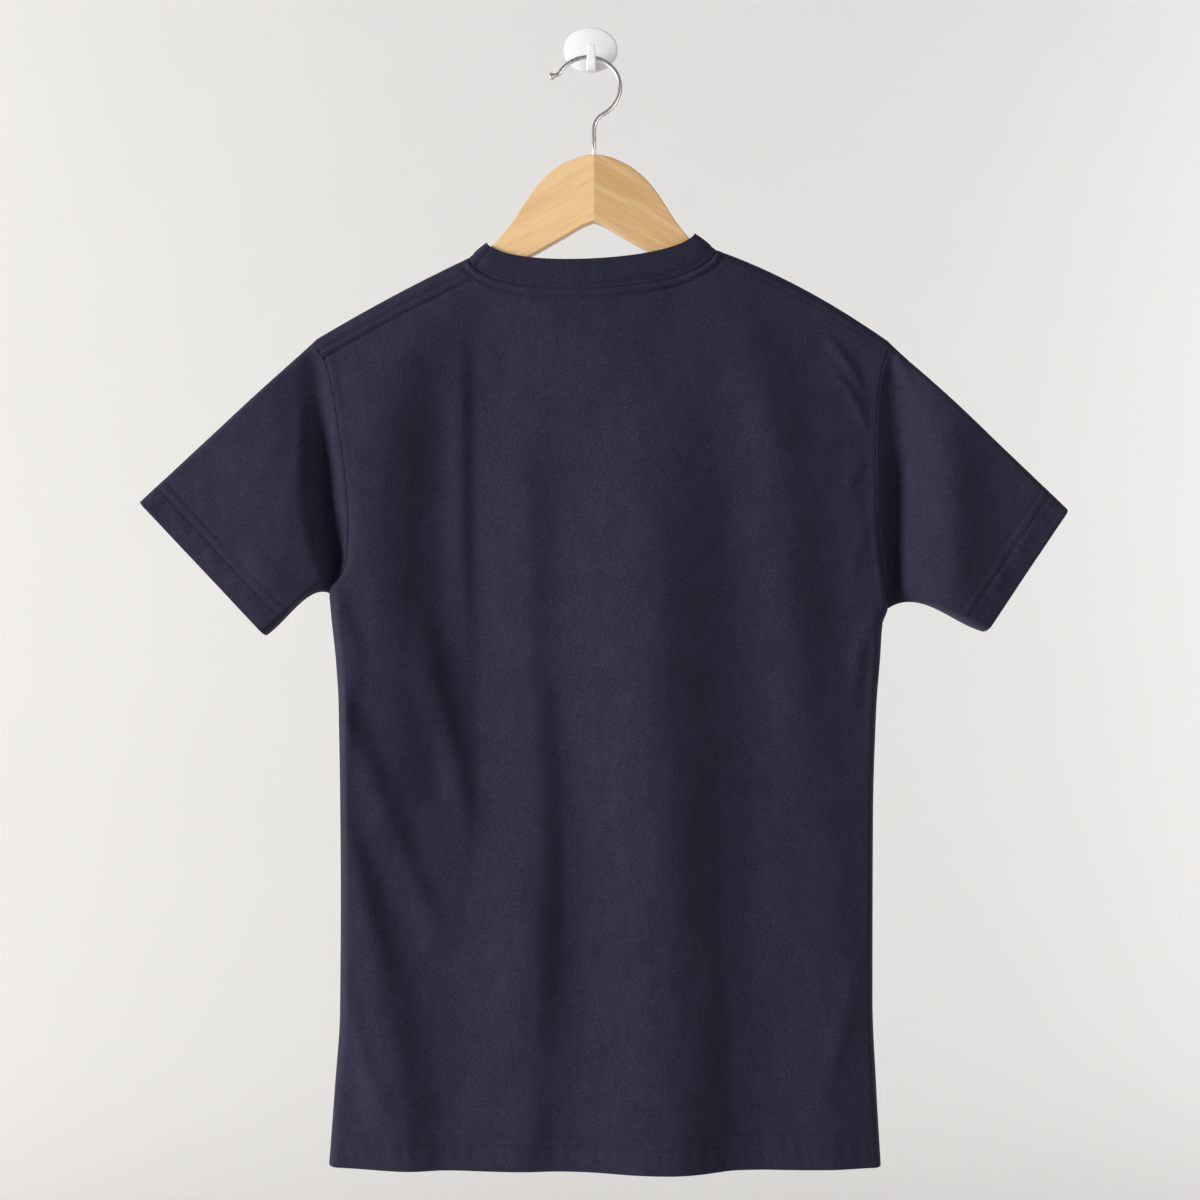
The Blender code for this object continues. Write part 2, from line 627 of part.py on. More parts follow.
# ================================================================ wall hook
def plate_object(collection):
    """The domed oval plate: a turned profile, then drawn to an oval."""
    rim = PLATE_WIDTH / 2.0
    profile = [(0.0, PLATE_THICKNESS + PLATE_DOME)]
    for share in (0.35, 0.6, 0.8, 0.92):
        profile.append((rim * share, PLATE_THICKNESS + PLATE_DOME * (1.0 - share ** 2)))
    profile += [(rim * 0.98, PLATE_THICKNESS * 0.72), (rim, PLATE_THICKNESS * 0.3), (rim, 0.0),
                (0.0, 0.0)]
    mesh = bpy.data.meshes.new("plate")
    squash = PLATE_HEIGHT / PLATE_WIDTH
    mesh.from_pydata([(r * MM, 0.0, h * MM) for r, h in profile],
                     [(k, k + 1) for k in range(len(profile) - 1)], [])
    item = bpy.data.objects.new("plate", mesh)
    collection.objects.link(item)
    screw = item.modifiers.new("turned", "SCREW")
    screw.steps = screw.render_steps = PLATE_SEGMENTS
    screw.use_merge_vertices = True
    screw.merge_threshold = 0.0001
    screw.use_normal_calculate = True
    turned = solid_copy(item, "wall_hook", collection)
    for vertex in turned.data.vertices:
        x, y, z = vertex.co
        vertex.co = (x, -z, y * squash)
    return turned


def j_object(collection):
    """The J that carries the wire: a flat outline, as thick as the J is wide."""
    data = bpy.data.curves.new("j", "CURVE")
    data.dimensions = "2D"
    data.fill_mode = "BOTH"
    data.extrude = J_WIDTH / 2.0 * MM
    spline = data.splines.new("POLY")
    spline.points.add(len(J_OUTLINE) - 1)
    for point, (y, z) in zip(spline.points, J_OUTLINE):
        point.co = (y * MM, z * MM, 0.0, 1.0)
    spline.use_cyclic_u = True
    item = bpy.data.objects.new("j", data)
    collection.objects.link(item)
    item.rotation_euler = (math.radians(90), 0.0, math.radians(90))
    item.location = (J_X * MM, 0.0, 0.0)
    return solid_copy(item, "j_solid", collection)


def solid_copy(item, name, collection):
    """A welded mesh object of what the given object shows. The given one is removed."""
    bpy.context.view_layer.update()
    graph = bpy.context.evaluated_depsgraph_get()
    mesh = bpy.data.meshes.new_from_object(item.evaluated_get(graph))
    mesh.transform(item.matrix_world)
    bm = bmesh.new()
    bm.from_mesh(mesh)
    bmesh.ops.remove_doubles(bm, verts=bm.verts, dist=0.00001)
    bmesh.ops.recalc_face_normals(bm, faces=bm.faces)
    bm.to_mesh(mesh)
    bm.free()
    bpy.data.objects.remove(item)
    mesh.name = name
    copy = bpy.data.objects.new(name, mesh)
    collection.objects.link(copy)
    return copy


def build_wall_hook(material, collection, cutters):
    """The wall hook: plate and J joined to one moulding."""
    hook = plate_object(collection)
    hook.data.materials.append(material)
    j = j_object(cutters)
    j.hide_render = True
    j.display_type = "WIRE"
    join = hook.modifiers.new("plate and J", "BOOLEAN")
    join.operation = "UNION"
    join.solver = "EXACT"
    join.object = j
    return hook


# ================================================================ materials and the whole object
def finish(name, colour, roughness, metallic=0.0):
    material = bpy.data.materials.new(name)
    material.use_nodes = True
    shader = material.node_tree.nodes["Principled BSDF"]
    shader.inputs["Base Color"].default_value = (*colour, 1.0)
    shader.inputs["Roughness"].default_value = roughness
    shader.inputs["Metallic"].default_value = metallic
    return material


def main():
    for item in list(bpy.data.objects):
        bpy.data.objects.remove(item)
    collection = bpy.data.collections.new(OBJECT_NAME)
    cutters = bpy.data.collections.new("cutters")
    for group in (collection, cutters):
        bpy.context.scene.collection.children.link(group)

    jersey = finish("navy jersey", (0.028, 0.026, 0.050), 0.9)
    rib = finish("navy rib knit", (0.026, 0.024, 0.046), 0.9)
    wood = finish("pale varnished wood", (0.72, 0.46, 0.23), 0.45)
    steel = finish("bright steel wire", (0.72, 0.70, 0.68), 0.25, 1.0)
    plastic = finish("white plastic", (0.88, 0.88, 0.87), 0.35)

    for panel in ("back", "front"):
        build_panel(panel, jersey, collection)
    for side in ("left", "right"):
        build_sleeve(side, jersey, collection)
    build_neck_rib(rib, collection)
    build_hanger_wood(wood, collection)
    build_hanger_wire(steel, collection)
    build_wall_hook(plastic, collection, cutters)


main()
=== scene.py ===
# %% [markdown]
# # A T-shirt on a hanger
#
# This lesson dresses a plain model of a T-shirt that hangs on a wall hook. The frame that is
# loaded first holds the solids at their real size, in metres, with +Z up. We look along +Y at the
# wall and see the shirt's back. Each thing is first described as it is in a shop, then modelled.

# %% Load the frame
import math

import bmesh
import bpy
import numpy as np
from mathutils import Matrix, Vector
from mathutils.bvhtree import BVHTree


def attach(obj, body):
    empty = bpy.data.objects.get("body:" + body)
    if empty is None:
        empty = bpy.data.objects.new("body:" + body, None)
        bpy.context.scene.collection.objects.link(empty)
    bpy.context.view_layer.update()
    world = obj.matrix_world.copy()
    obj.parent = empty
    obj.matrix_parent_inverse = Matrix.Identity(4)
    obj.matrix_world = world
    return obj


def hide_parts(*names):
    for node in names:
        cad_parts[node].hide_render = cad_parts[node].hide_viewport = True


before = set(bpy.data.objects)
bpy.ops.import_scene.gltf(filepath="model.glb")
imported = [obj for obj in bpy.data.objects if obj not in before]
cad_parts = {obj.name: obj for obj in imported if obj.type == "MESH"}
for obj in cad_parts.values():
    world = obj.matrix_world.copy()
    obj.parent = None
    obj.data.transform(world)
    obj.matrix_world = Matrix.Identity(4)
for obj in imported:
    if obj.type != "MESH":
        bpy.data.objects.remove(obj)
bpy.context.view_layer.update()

MM = 0.001
print("nodes:", ", ".join(sorted(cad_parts)))

# %% [markdown]
# ## Camera
#
# The camera stands 1.54 m in front of the wall, level with the middle of the shirt, and looks
# straight at it. A lens of 59 mm on a 36 mm sensor gives the field of view that we want.

# %% Camera
camera_data = bpy.data.cameras.new("camera")
camera_data.lens = 58.87
camera_data.sensor_width = 36.0
camera = bpy.data.objects.new("camera", camera_data)
camera.location = (0.0072, -1.540, -0.4314)
camera.rotation_euler = (math.radians(90), 0.0, 0.0)
bpy.context.scene.collection.objects.link(camera)
bpy.context.scene.camera = camera
bpy.context.scene.view_settings.view_transform = "Standard"


# %% [markdown]
# ## Materials
#
# A finish is a Principled shader with a few textures in front of it. The helper below makes the
# shader and adds any node in one line, so that each finish can be read from top to bottom.

# %% Helpers for materials
class Finish:
    """A material with a Principled shader, and short ways to add and join nodes."""

    def __init__(self, name, roughness, metallic=0.0):
        self.material = bpy.data.materials.new(name)
        self.material.use_nodes = True
        self.tree = self.material.node_tree
        self.shader = self.tree.nodes["Principled BSDF"]
        self.set(self.shader, Roughness=roughness, Metallic=metallic)

    def plug(self, socket, value):
        if isinstance(value, bpy.types.NodeSocket):
            self.tree.links.new(value, socket)
        else:
            socket.default_value = value

    def set(self, node, **values):
        for key, value in values.items():
            self.plug(node.inputs[key.replace("_", " ")], value)

    def node(self, kind, output=0, settings=(), **values):
        node = self.tree.nodes.new("ShaderNode" + kind)
        for key, value in dict(settings).items():
            setattr(node, key, value)
        self.set(node, **values)
        return node.outputs[output]

    def math(self, operation, a, b=0.0):
        node = self.tree.nodes.new("ShaderNodeMath")
        node.operation = operation
        self.plug(node.inputs[0], a)
        self.plug(node.inputs[1], b)
        return node.outputs[0]

    def place(self, source="Object"):
        return self.tree.nodes.new("ShaderNodeTexCoord").outputs[source]

    def split(self, vector):
        node = self.tree.nodes.new("ShaderNodeSeparateXYZ")
        self.plug(node.inputs[0], vector)
        return node.outputs[0], node.outputs[1], node.outputs[2]

    def stretch(self, vector, scale, turn=(0.0, 0.0, 0.0)):
        return self.node("Mapping", Vector=vector, Scale=scale, Rotation=turn)

    def noise(self, vector, scale, detail=2.0, roughness=0.5):
        return self.node("TexNoise", Vector=vector, Scale=scale, Detail=detail,
                         Roughness=roughness)

    def step(self, value, low, high, to_low=0.0, to_high=1.0):
        return self.node("MapRange", settings={"interpolation_type": "SMOOTHSTEP"}, Value=value,
                         From_Min=low, From_Max=high, To_Min=to_low, To_Max=to_high)

    def blend(self, share, first, second):
        """First where share is 0 and second where it is 1, both colours."""
        node = self.tree.nodes.new("ShaderNodeMix")
        node.data_type = "RGBA"
        self.plug(node.inputs[0], share)
        for socket, colour in ((node.inputs[6], first), (node.inputs[7], second)):
            self.plug(socket, (*colour, 1.0) if isinstance(colour, tuple) else colour)
        return node.outputs[2]

    def bump(self, height, distance, strength=1.0, below=None):
        node = self.tree.nodes.new("ShaderNodeBump")
        self.set(node, Height=height, Distance=distance, Strength=strength)
        if below is not None:
            self.tree.links.new(below, node.inputs["Normal"])
        return node.outputs[0]


# %% [markdown]
# ## Navy jersey
#
# Single jersey is a fine knit: columns of small V-shaped loops, each less than a millimetre wide.
# From a step away they merge to a soft grain with lighter and darker yarns, and a little lint sits
# on top. The loops are worked out from the cloth's own UV map, which is in metres along and across
# the cloth, so that they follow each piece as it was cut. Sheen gives the pale nap at grazing
# angles.

# %% Jersey and rib finishes
def knit(name, dark, light, wale, course, depth, rib=0.0):
    """A knitted cloth. wale and course are a loop's width and height in metres."""
    f = Finish(name, 0.88)
    f.set(f.shader, Specular_IOR_Level=0.14, Sheen_Weight=0.08, Sheen_Roughness=0.45,
          Sheen_Tint=(0.62, 0.62, 0.80, 1.0))
    here = f.place()
    cut_x, cut_y, _ = f.split(f.place("UV"))
    across = f.math("FRACT", f.math("DIVIDE", cut_x, wale))
    leg = f.math("ABSOLUTE", f.math("SUBTRACT", across, 0.5))
    down = f.math("ADD", f.math("DIVIDE", cut_y, course), f.math("MULTIPLY", leg, 1.3))
    loop = f.math("SINE", f.math("MULTIPLY", f.math("FRACT", down), math.pi))
    gap = f.step(leg, 0.36, 0.5, 1.0, 0.25)
    stitch = f.math("MULTIPLY", loop, gap)
    flecks = f.noise(f.stretch(here, (1.0, 1.0, 0.7)), 900.0, 2.0, 0.6)
    clouds = f.noise(f.stretch(here, (1.0, 1.0, 0.6)), 75.0, 4.0, 0.6)
    tone = f.math("ADD", f.math("MULTIPLY", flecks, 0.72), f.math("MULTIPLY", clouds, 0.28))
    # Painted shade: loop crests are a little lighter and the gaps between loops darker in colour,
    # on top of their bumps.
    tone = f.math("ADD", tone, f.math("MULTIPLY", f.math("SUBTRACT", stitch, 0.5), 0.08))
    colour = f.blend(f.step(tone, 0.30, 0.70), dark, light)
    lint = f.node("TexVoronoi", Vector=here, Scale=70.0, Randomness=1.0)
    spot = f.math("MULTIPLY", f.step(lint, 0.035, 0.055, 1.0, 0.0),
                  f.step(f.noise(here, 21.0), 0.56, 0.62, 0.0, 0.3))
    colour = f.blend(spot, colour, (0.14, 0.14, 0.19))
    height = f.math("ADD", f.math("MULTIPLY", stitch, 0.6), f.math("MULTIPLY", flecks, 0.8))
    normal = f.bump(height, depth)
    if rib:
        ridge = f.math("SINE", f.math("MULTIPLY", cut_x, 2.0 * math.pi / rib))
        normal = f.bump(ridge, 0.00022, 0.8, normal)
    f.set(f.shader, Base_Color=colour, Normal=normal)
    return f.material


jersey = knit("navy jersey", dark=(0.0150, 0.0140, 0.0285), light=(0.0305, 0.0287, 0.0565),
              wale=0.0009, course=0.00075, depth=0.00010)
rib_knit = knit("navy rib knit", dark=(0.0144, 0.0136, 0.0275), light=(0.0295, 0.0277, 0.0545),
                wale=0.0008, course=0.0008, depth=0.00010, rib=0.0016)

# %% [markdown]
# ## Sewing thread
#
# The thread is spun polyester. Its colour is painted darker than the cloth, as painted shade for
# the stitches that sink into their rows. It is smoother too, so a stitch catches a small light of
# its own where it turns to the window.

# %% Thread finish
thread = Finish("navy thread", 0.55)
twist = thread.noise(thread.place(), 2400.0, 2.0)
# Painted shade: both thread colours are darker than the cloth, to stand for the shade of the sunk
# stitches.
thread.set(thread.shader, Base_Color=thread.blend(twist, (0.006, 0.006, 0.011),
                                                  (0.014, 0.013, 0.024)),
           Normal=thread.bump(twist, 0.00005), Specular_IOR_Level=0.35)

# %% [markdown]
# ## Varnished wood, bright wire and white plastic
#
# The hanger is a pale wood whose grain runs along each arm, so its pattern is mirrored at the
# middle and turned with the arm's slope. The grain is a noise stretched many times along the arm,
# with finer pores on top, under a satin varnish. The wire is plated steel with fine drawing marks.
# The wall hook is white plastic with a faint mould texture.

# %% Wood, steel and plastic finishes
HANGER_X = 2.6           # the hanger's middle
ARM_SLOPE = 0.515        # an arm's fall for each unit outwards
ARM_SHIFT = 0.31         # parts the grain of one arm from the other's, in metres


def wood_finish():
    f = Finish("pale varnished wood", 0.42)
    x, y, z = f.split(f.place())
    from_middle = f.math("SUBTRACT", x, HANGER_X * MM)
    shift = f.math("MULTIPLY", f.math("SIGN", from_middle), ARM_SHIFT)
    arm = f.node("CombineXYZ", X=f.math("ABSOLUTE", from_middle), Y=f.math("ADD", y, shift), Z=z)
    along = f.stretch(arm, (1.0, 1.0, 1.0), (0.0, -math.atan(ARM_SLOPE), 0.0))
    drift = f.noise(f.stretch(along, (3.0, 6.0, 14.0)), 1.0, 2.0)
    bands = f.noise(f.stretch(along, (7.0, 40.0, 130.0)), 1.0, 4.0, 0.55)
    fine = f.noise(f.stretch(along, (40.0, 300.0, 900.0)), 1.0, 3.0, 0.6)
    pores = f.noise(f.stretch(along, (110.0, 900.0, 1800.0)), 1.0, 1.0)
    tone = f.math("ADD", f.math("MULTIPLY", bands, 0.62), f.math("MULTIPLY", fine, 0.38))
    colour = f.blend(f.step(tone, 0.36, 0.66), (0.640, 0.372, 0.150), (0.775, 0.520, 0.262))
    colour = f.blend(f.step(drift, 0.35, 0.70, 0.0, 0.45), colour, (0.800, 0.565, 0.310))
    colour = f.blend(f.step(pores, 0.64, 0.74, 0.0, 0.30), colour, (0.420, 0.220, 0.085))
    grain = f.math("ADD", fine, f.step(pores, 0.60, 0.72, 0.0, -0.8))
    f.set(f.shader, Base_Color=colour, Roughness=f.step(tone, 0.3, 0.7, 0.38, 0.52),
          Normal=f.bump(grain, 0.00006), Coat_Weight=0.25, Coat_Roughness=0.28,
          Specular_IOR_Level=0.4)
    return f.material


def steel_finish():
    f = Finish("bright plated wire", 0.24, 1.0)
    marks = f.noise(f.stretch(f.place(), (900.0, 900.0, 120.0)), 1.0, 3.0, 0.6)
    f.set(f.shader, Base_Color=f.blend(marks, (0.66, 0.64, 0.61), (0.84, 0.83, 0.81)),
          Roughness=f.step(marks, 0.3, 0.7, 0.17, 0.34), Normal=f.bump(marks, 0.00002))
    return f.material


def plastic_finish():
    f = Finish("white moulded plastic", 0.34)
    grain = f.noise(f.place(), 1500.0, 2.0)
    cloud = f.noise(f.place(), 60.0, 2.0)
    f.set(f.shader, Base_Color=f.blend(cloud, (0.86, 0.86, 0.855), (0.90, 0.90, 0.90)),
          Roughness=f.step(cloud, 0.3, 0.7, 0.30, 0.40), Normal=f.bump(grain, 0.00003),
          Coat_Weight=0.15, Coat_Roughness=0.2, Subsurface_Weight=0.08,
          Subsurface_Radius=(0.004, 0.004, 0.004))
    return f.material


wood = wood_finish()
steel = steel_finish()
plastic = plastic_finish()

# %% [markdown]
# ## Where the cloth hangs
#
# The frame was made from named sizes, and cloth pieces are made again here from the same sizes
# with many more points. The functions take whole arrays of points at once, which keeps the script
# fast. All lengths in the tables are in millimetres.

# %% Sizes of the shirt
HEM_Z = -869.0
SHOULDERS = {
    # side:   neck x, neck z, tip x,  tip z,  bow
    "left": (-94.0, -166.0, -213.0, -228.0, 2.0),
    "right": (97.0, -160.0, 231.0, -229.5, 6.0),
}
RIB_CORNERS = {"left": (-80.0, -154.0), "right": (80.0, -147.0)}
NECKLINES = {
    # panel: seam drop, rib edge drop, roundness, steepness
    "back": (29.5, 18.5, 2.0, 2.0),
    "front": (95.0, 92.5, 2.2, 1.35),
}
ARMPIT_Z = {"left": -426.0, "right": -438.0}
EDGES = {
    # height, x
    "left": (
        (-228.0, -213.0), (-231.5, -213.0), (-250.0, -204.0), (-272.0, -198.5), (-300.0, -193.5),
        (-335.0, -188.0), (-368.0, -185.5), (-395.0, -187.0), (-412.0, -192.0), (-426.0, -203.0),
        (-440.0, -202.0), (-478.0, -198.0), (-517.0, -195.5), (-640.0, -194.0), (-750.0, -195.0),
        (-809.0, -199.0), (-869.0, -203.5),
    ),
    "right": (
        (-229.5, 231.0), (-233.0, 231.0), (-253.0, 225.0), (-282.0, 221.5), (-315.0, 220.0),
        (-350.0, 220.0), (-378.0, 221.5), (-405.0, 225.0), (-424.0, 228.0), (-438.0, 231.0),
        (-450.0, 227.0), (-478.0, 225.0), (-517.0, 222.0), (-600.0, 219.5), (-740.0, 219.0),
        (-809.0, 222.0), (-869.0, 225.5),
    ),
}
SIDE_SEAM_Y = -13.0      # the side seams hang this far from the wall
SIDE_ROUND = {"left": 9.0, "right": 6.0}     # width across which a panel turns into its side
SIDE_PULL = 8            # how quickly the sides' curves fade out across a panel
BODY_MIDDLE_X = 12.0
BODY_HALF_WIDTH = 208.0
SHOULDER_ROUND = 10.0    # radius of the cloth over the hanger's arms
CLOTH_ROUND = 30.0       # and where it rounds the corner in the hanger's middle
BACK_MIDDLE_Y = -34.0
BACK_SIDE_Y = -27.0
FRONT_Y = -4.5
BACK_FALL = (10.0, 150.0)        # depths below the ridge between which the back falls free,
FRONT_FALL = (10.0, 80.0)        # the front reaches the wall
FOLD_START = (12.0, 60.0)        # and the back's folds set in
HANGER_Y = -27.0
HANGER_SWEEP = 15.5
HANGER_REACH = 210.0
HANGER_BEND = 0.35       # how much more of the sweep lies in the arms' inner part
SEAM_GAP = 0.3
CLOTH_THICKNESS = 0.9    # a real jersey's thickness, with its nap
HEM_THICKNESS = 1.9      # and where it is turned, two layers and a bit


# %% [markdown]
# ### Curves through a table
#
# `curve` draws a smooth line through a few points of a table without ever running past them. That
# suits outlines, which must not wave between their points. `smooth` is a soft step and `quarter`
# a quarter circle.

# %% Curves
def lerp(a, b, t):
    return a + (b - a) * t


def smooth(low, high, value):
    t = np.clip((value - low) / (high - low), 0.0, 1.0)
    return t * t * (3.0 - 2.0 * t)


def quarter(t):
    t = np.clip(t, 0.0, 1.0)
    return np.sqrt(1.0 - (1.0 - t) ** 2)


def curve(table, t):
    """Smooth curve through a table of (t, value) rows, held at its ends."""
    knots, values = np.array(sorted(table), float).T
    steps = np.diff(values) / np.diff(knots)
    product, total = steps[:-1] * steps[1:], steps[:-1] + steps[1:]
    middle = np.where(product > 0.0, 2.0 * product / np.where(total == 0.0, 1.0, total), 0.0)
    slopes = np.concatenate([steps[:1], middle, steps[-1:]])
    t = np.clip(t, knots[0], knots[-1])
    k = np.clip(np.searchsorted(knots, t, "right") - 1, 0, len(steps) - 1)
    width = knots[k + 1] - knots[k]
    s = (t - knots[k]) / width
    return ((1 + 2 * s) * (1 - s) ** 2 * values[k] + s * (1 - s) ** 2 * width * slopes[k]
            + s * s * (3 - 2 * s) * values[k + 1] + s * s * (s - 1) * width * slopes[k + 1])


# %% [markdown]
# ### Over the hanger
#
# Cloth lies over the hanger's arms and turns down on both sides. The ridge line runs from the
# shoulder tip up to the neck. The back then falls freely, and the front falls against the wall.

# %% Hanging form
def hanger_y(x, rounded=0.0):
    """Depth of the hanger's middle line, whose corner may be rounded for the cloth on it."""
    reach = np.minimum(1.0, np.hypot(x - HANGER_X, rounded) / HANGER_REACH)
    return HANGER_Y + HANGER_SWEEP * ((1.0 + HANGER_BEND) * reach - HANGER_BEND * reach * reach)


def ridge_z(x):
    heights = []
    for side in ("left", "right"):
        neck_x, neck_z, tip_x, tip_z, bow = SHOULDERS[side]
        rib_x, rib_z = RIB_CORNERS[side]
        t = (x - neck_x) / (tip_x - neck_x)
        outer = lerp(neck_z, tip_z, t) + bow * 4.0 * t * (1.0 - t)
        inner = lerp(neck_z, rib_z, (x - neck_x) / (rib_x - neck_x))
        heights.append(np.where(t > 0.0, outer, inner))
    return np.where(x < HANGER_X, heights[0], heights[1])


def neck_point(panel, across, edge):
    corners = SHOULDERS if edge == "seam" else RIB_CORNERS
    left, right = corners["left"][:2], corners["right"][:2]
    seam_drop, rib_drop, roundness, steepness = NECKLINES[panel]
    drop = seam_drop if edge == "seam" else rib_drop
    centred = np.minimum(1.0, np.abs(2.0 * across - 1.0))
    share = (1.0 - centred ** roundness) ** (1.0 / steepness)
    return lerp(left[0], right[0], across), lerp(left[1], right[1], across) - drop * share


def top_z(panel, x):
    left_x, right_x = SHOULDERS["left"][0], SHOULDERS["right"][0]
    across = np.clip((x - left_x) / (right_x - left_x), 0.0, 1.0)
    neck = neck_point(panel, across, "seam")[1]
    return np.where((across > 0.0) & (across < 1.0), neck, ridge_z(x))


# %% [markdown]
# ### Folds and creases
#
# A fold has a crest that runs through a few points, a width on each side of it and a height, which
# is minus for a trough. Wide folds run down the whole panel. Creases are short and narrow, and run
# any way. Both fade out at their ends, because a fold never stops dead in cloth. The tables list
# one row for each fold that a viewer would miss.

# %% Tables of folds
BACK_FOLDS = (
    # name, path of x, z, left width, right width, height, how crisp the right foot is below
    ("middle ridge", ((50, -180), (50, -440), (53, -560), (55, -680), (58, -790), (62, -1150)),
     58, 47, 18, 0.7),
    ("left trough", ((-100, -170), (-98, -380), (-84, -520), (-66, -660)), 34, 70, -10, 0.0),
    ("armpit ridge", ((-146, -140), (-150, -255), (-163, -316), (-168, -378), (-168, -439),
                      (-158, -500), (-154, -562), (-138, -700)), 56, 36, 10.5, 0.3),
    ("centre-left ridge", ((-52, -230), (-51, -400), (-48, -500), (-41, -570), (-40, -640),
                           (-43, -720), (-50, -870)), 34, 18, 8, 0.4),
    ("lower centre ridge", ((-64, -560), (-60, -680), (-64, -780), (-70, -1000)), 42, 40, 6, 0.0),
    ("upper left diagonal", ((-205, -470), (-188, -520), (-171, -562), (-147, -623),
                             (-122, -684), (-110, -715)), 21, 13, 5.5, 0.0),
    ("lower left diagonal", ((-218, -460), (-205, -562), (-190, -623), (-176, -684),
                             (-160, -746), (-147, -807), (-132, -1000)), 34, 23, 10, 0.0),
    ("right ridge", ((108, -165), (128, -255), (140, -316), (145, -378), (153, -439),
                     (158, -500), (160, -600)), 23, 26, 8, 0.0),
    ("right lower ridge", ((150, -480), (160, -562), (174, -623), (185, -684), (188, -746),
                           (186, -807), (184, -1100)), 50, 28, 5, 0.0),
)
BACK_CREASES = (
    # name, path of x, z, left width, right width, height
    ("crease beside the trough", ((-101, -205), (-101, -255), (-101, -316), (-101, -378),
                                  (-98, -439), (-95, -580)), 13, 8, 5.0),
    ("branch of the trough", ((-134, -425), (-127, -462), (-119, -500), (-103, -562),
                              (-97, -610), (-101, -660)), 14, 9, 4.6),
    ("tail of the trough", ((-124, -570), (-117, -600), (-111, -640), (-107, -700)), 18, 13, 2.8),
    ("foot of the armpit ridge", ((-198, -570), (-184, -612), (-172, -650), (-160, -700)),
     12, 9, 2.2),
    ("beside the left seam", ((-196, -425), (-194, -440), (-189, -470), (-185, -500),
                              (-187, -562), (-189, -610)), 5, 6, 2.6),
    ("shoulder crease", ((176, -214), (190, -236), (202, -254), (214, -276)), 5, 3, 2.9),
    ("second shoulder crease", ((184, -248), (196, -264), (208, -284), (217, -306)), 6, 3, 2.2),
    ("seam crease high", ((212, -318), (204, -334), (196, -356)), 5, 4, 1.2),
    ("seam crease middle", ((215, -372), (206, -392), (200, -420)), 5, 4, 1.3),
    ("right armpit crease", ((226, -432), (214, -452), (206, -480), (202, -520)), 7, 5, 2.4),
    ("right armpit branch", ((224, -436), (220, -466), (219, -500), (215, -560)), 5, 4, 1.8),
    ("left armpit crease", ((-198, -418), (-190, -440), (-180, -470), (-176, -520)), 7, 5, 2.4),
    ("left armpit branch", ((-200, -424), (-196, -456), (-190, -500), (-180, -560)), 6, 4, 1.8),
    ("left flank crease", ((-186, -600), (-176, -650), (-160, -700), (-140, -750)), 12, 7, 1.6),
    ("low left crease", ((-196, -690), (-184, -750), (-164, -810), (-146, -850)), 10, 7, 2.2),
    ("low right crease", ((210, -680), (200, -735), (186, -785), (172, -835)), 12, 8, 2.2),
    ("hem wave", ((-40, -800), (-44, -840), (-58, -880)), 18, 12, 2.0),
    ("centre shadow", ((-8, -430), (-2, -560), (4, -700), (0, -820)), 30, 30, -1.6),
    ("yoke pull", ((-60, -214), (-20, -222), (20, -226), (40, -224)), 4, 5, 0.5),
)
FRONT_FOLDS = (
    ("left wave", ((-110, -380), (-100, -620), (-92, -1010)), 46, 46, 4, 0.0),
    ("middle wave", ((20, -420), (24, -640), (28, -1010)), 50, 50, 3, 0.0),
    ("right wave", ((128, -380), (124, -620), (118, -1010)), 46, 46, 5, 0.0),
)
FRONT_CREASES = (
    ("left drape", ((-150, -240), (-146, -330), (-152, -440)), 16, 20, -1.6),
    ("right drape", ((160, -250), (158, -350), (166, -460)), 18, 16, -1.6),
    ("left armpit pull", ((-196, -428), (-160, -470), (-120, -540)), 9, 9, -1.4),
    ("right armpit pull", ((222, -440), (184, -480), (140, -560)), 9, 9, -1.4),
    ("low crease", ((-40, -640), (-52, -740), (-70, -850)), 20, 14, -1.5),
    ("low right crease", ((70, -600), (74, -720), (82, -850)), 16, 20, -1.5),
)
SLEEVE_FOLDS = {
    "left": (
        ("crest", ((-214, -205), (-218, -240), (-222, -277), (-226, -316), (-226, -354),
                   (-220, -385), (-210, -412), (-198, -430), (-150, -700)), 46, 13, 7.5, 0.0),
        ("valley", ((-216, -190), (-214, -230), (-210, -292), (-205, -339), (-199, -385),
                    (-192, -424), (-170, -700)), 9, 11, -9, 0.0),
    ),
    "right": (
        ("valley", ((234, -190), (235, -220), (236, -280), (236, -320), (234, -360), (232, -400),
                    (228, -440), (220, -700)), 12, 21, -14, 0.0),
        ("crest", ((252, -190), (254, -240), (260, -290), (269, -331), (275, -380), (280, -430),
                   (284, -560)), 20, 24, 6, 0.0),
        ("hollow", ((292, -280), (302, -340), (306, -380), (310, -440)), 22, 26, -2.4, 0.0),
    ),
}
SLEEVE_CREASES = {
    "left": (
        ("bottom of the valley", ((-211, -268), (-207, -320), (-203, -360), (-197, -398),
                                  (-191, -428)), 6, 7, -5.5),
        ("roll beside the valley", ((-234, -252), (-244, -300), (-254, -354)), 9, 9, 1.2),
        ("outer roll", ((-262, -300), (-282, -340), (-300, -380)), 22, 22, 1.6),
        ("underarm pull", ((-226, -426), (-248, -410), (-270, -396)), 10, 12, 2.2),
        ("cuff pucker", ((-300, -392), (-292, -400), (-284, -412)), 5, 5, 1.4),
        ("second cuff pucker", ((-326, -362), (-318, -370), (-310, -380)), 5, 5, 0.9),
        ("third cuff pucker", ((-270, -424), (-262, -434), (-256, -446)), 5, 5, 1.0),
    ),
    "right": (
        ("bottom of the valley", ((237, -290), (238, -335), (237, -375), (235, -412),
                                  (231, -446)), 7, 8, -6.0),
        ("shoulder crease", ((234, -232), (242, -252), (250, -274)), 5, 3, 3.0),
        ("underarm pull", ((244, -430), (250, -410), (262, -388)), 5, 6, 2.0),
        ("second underarm pull", ((268, -434), (276, -416), (290, -402)), 8, 8, 1.3),
        ("cuff pucker", ((318, -408), (312, -418), (304, -430)), 5, 5, 1.2),
        ("second cuff pucker", ((340, -376), (332, -386), (326, -398)), 5, 5, 0.8),
    ),
}


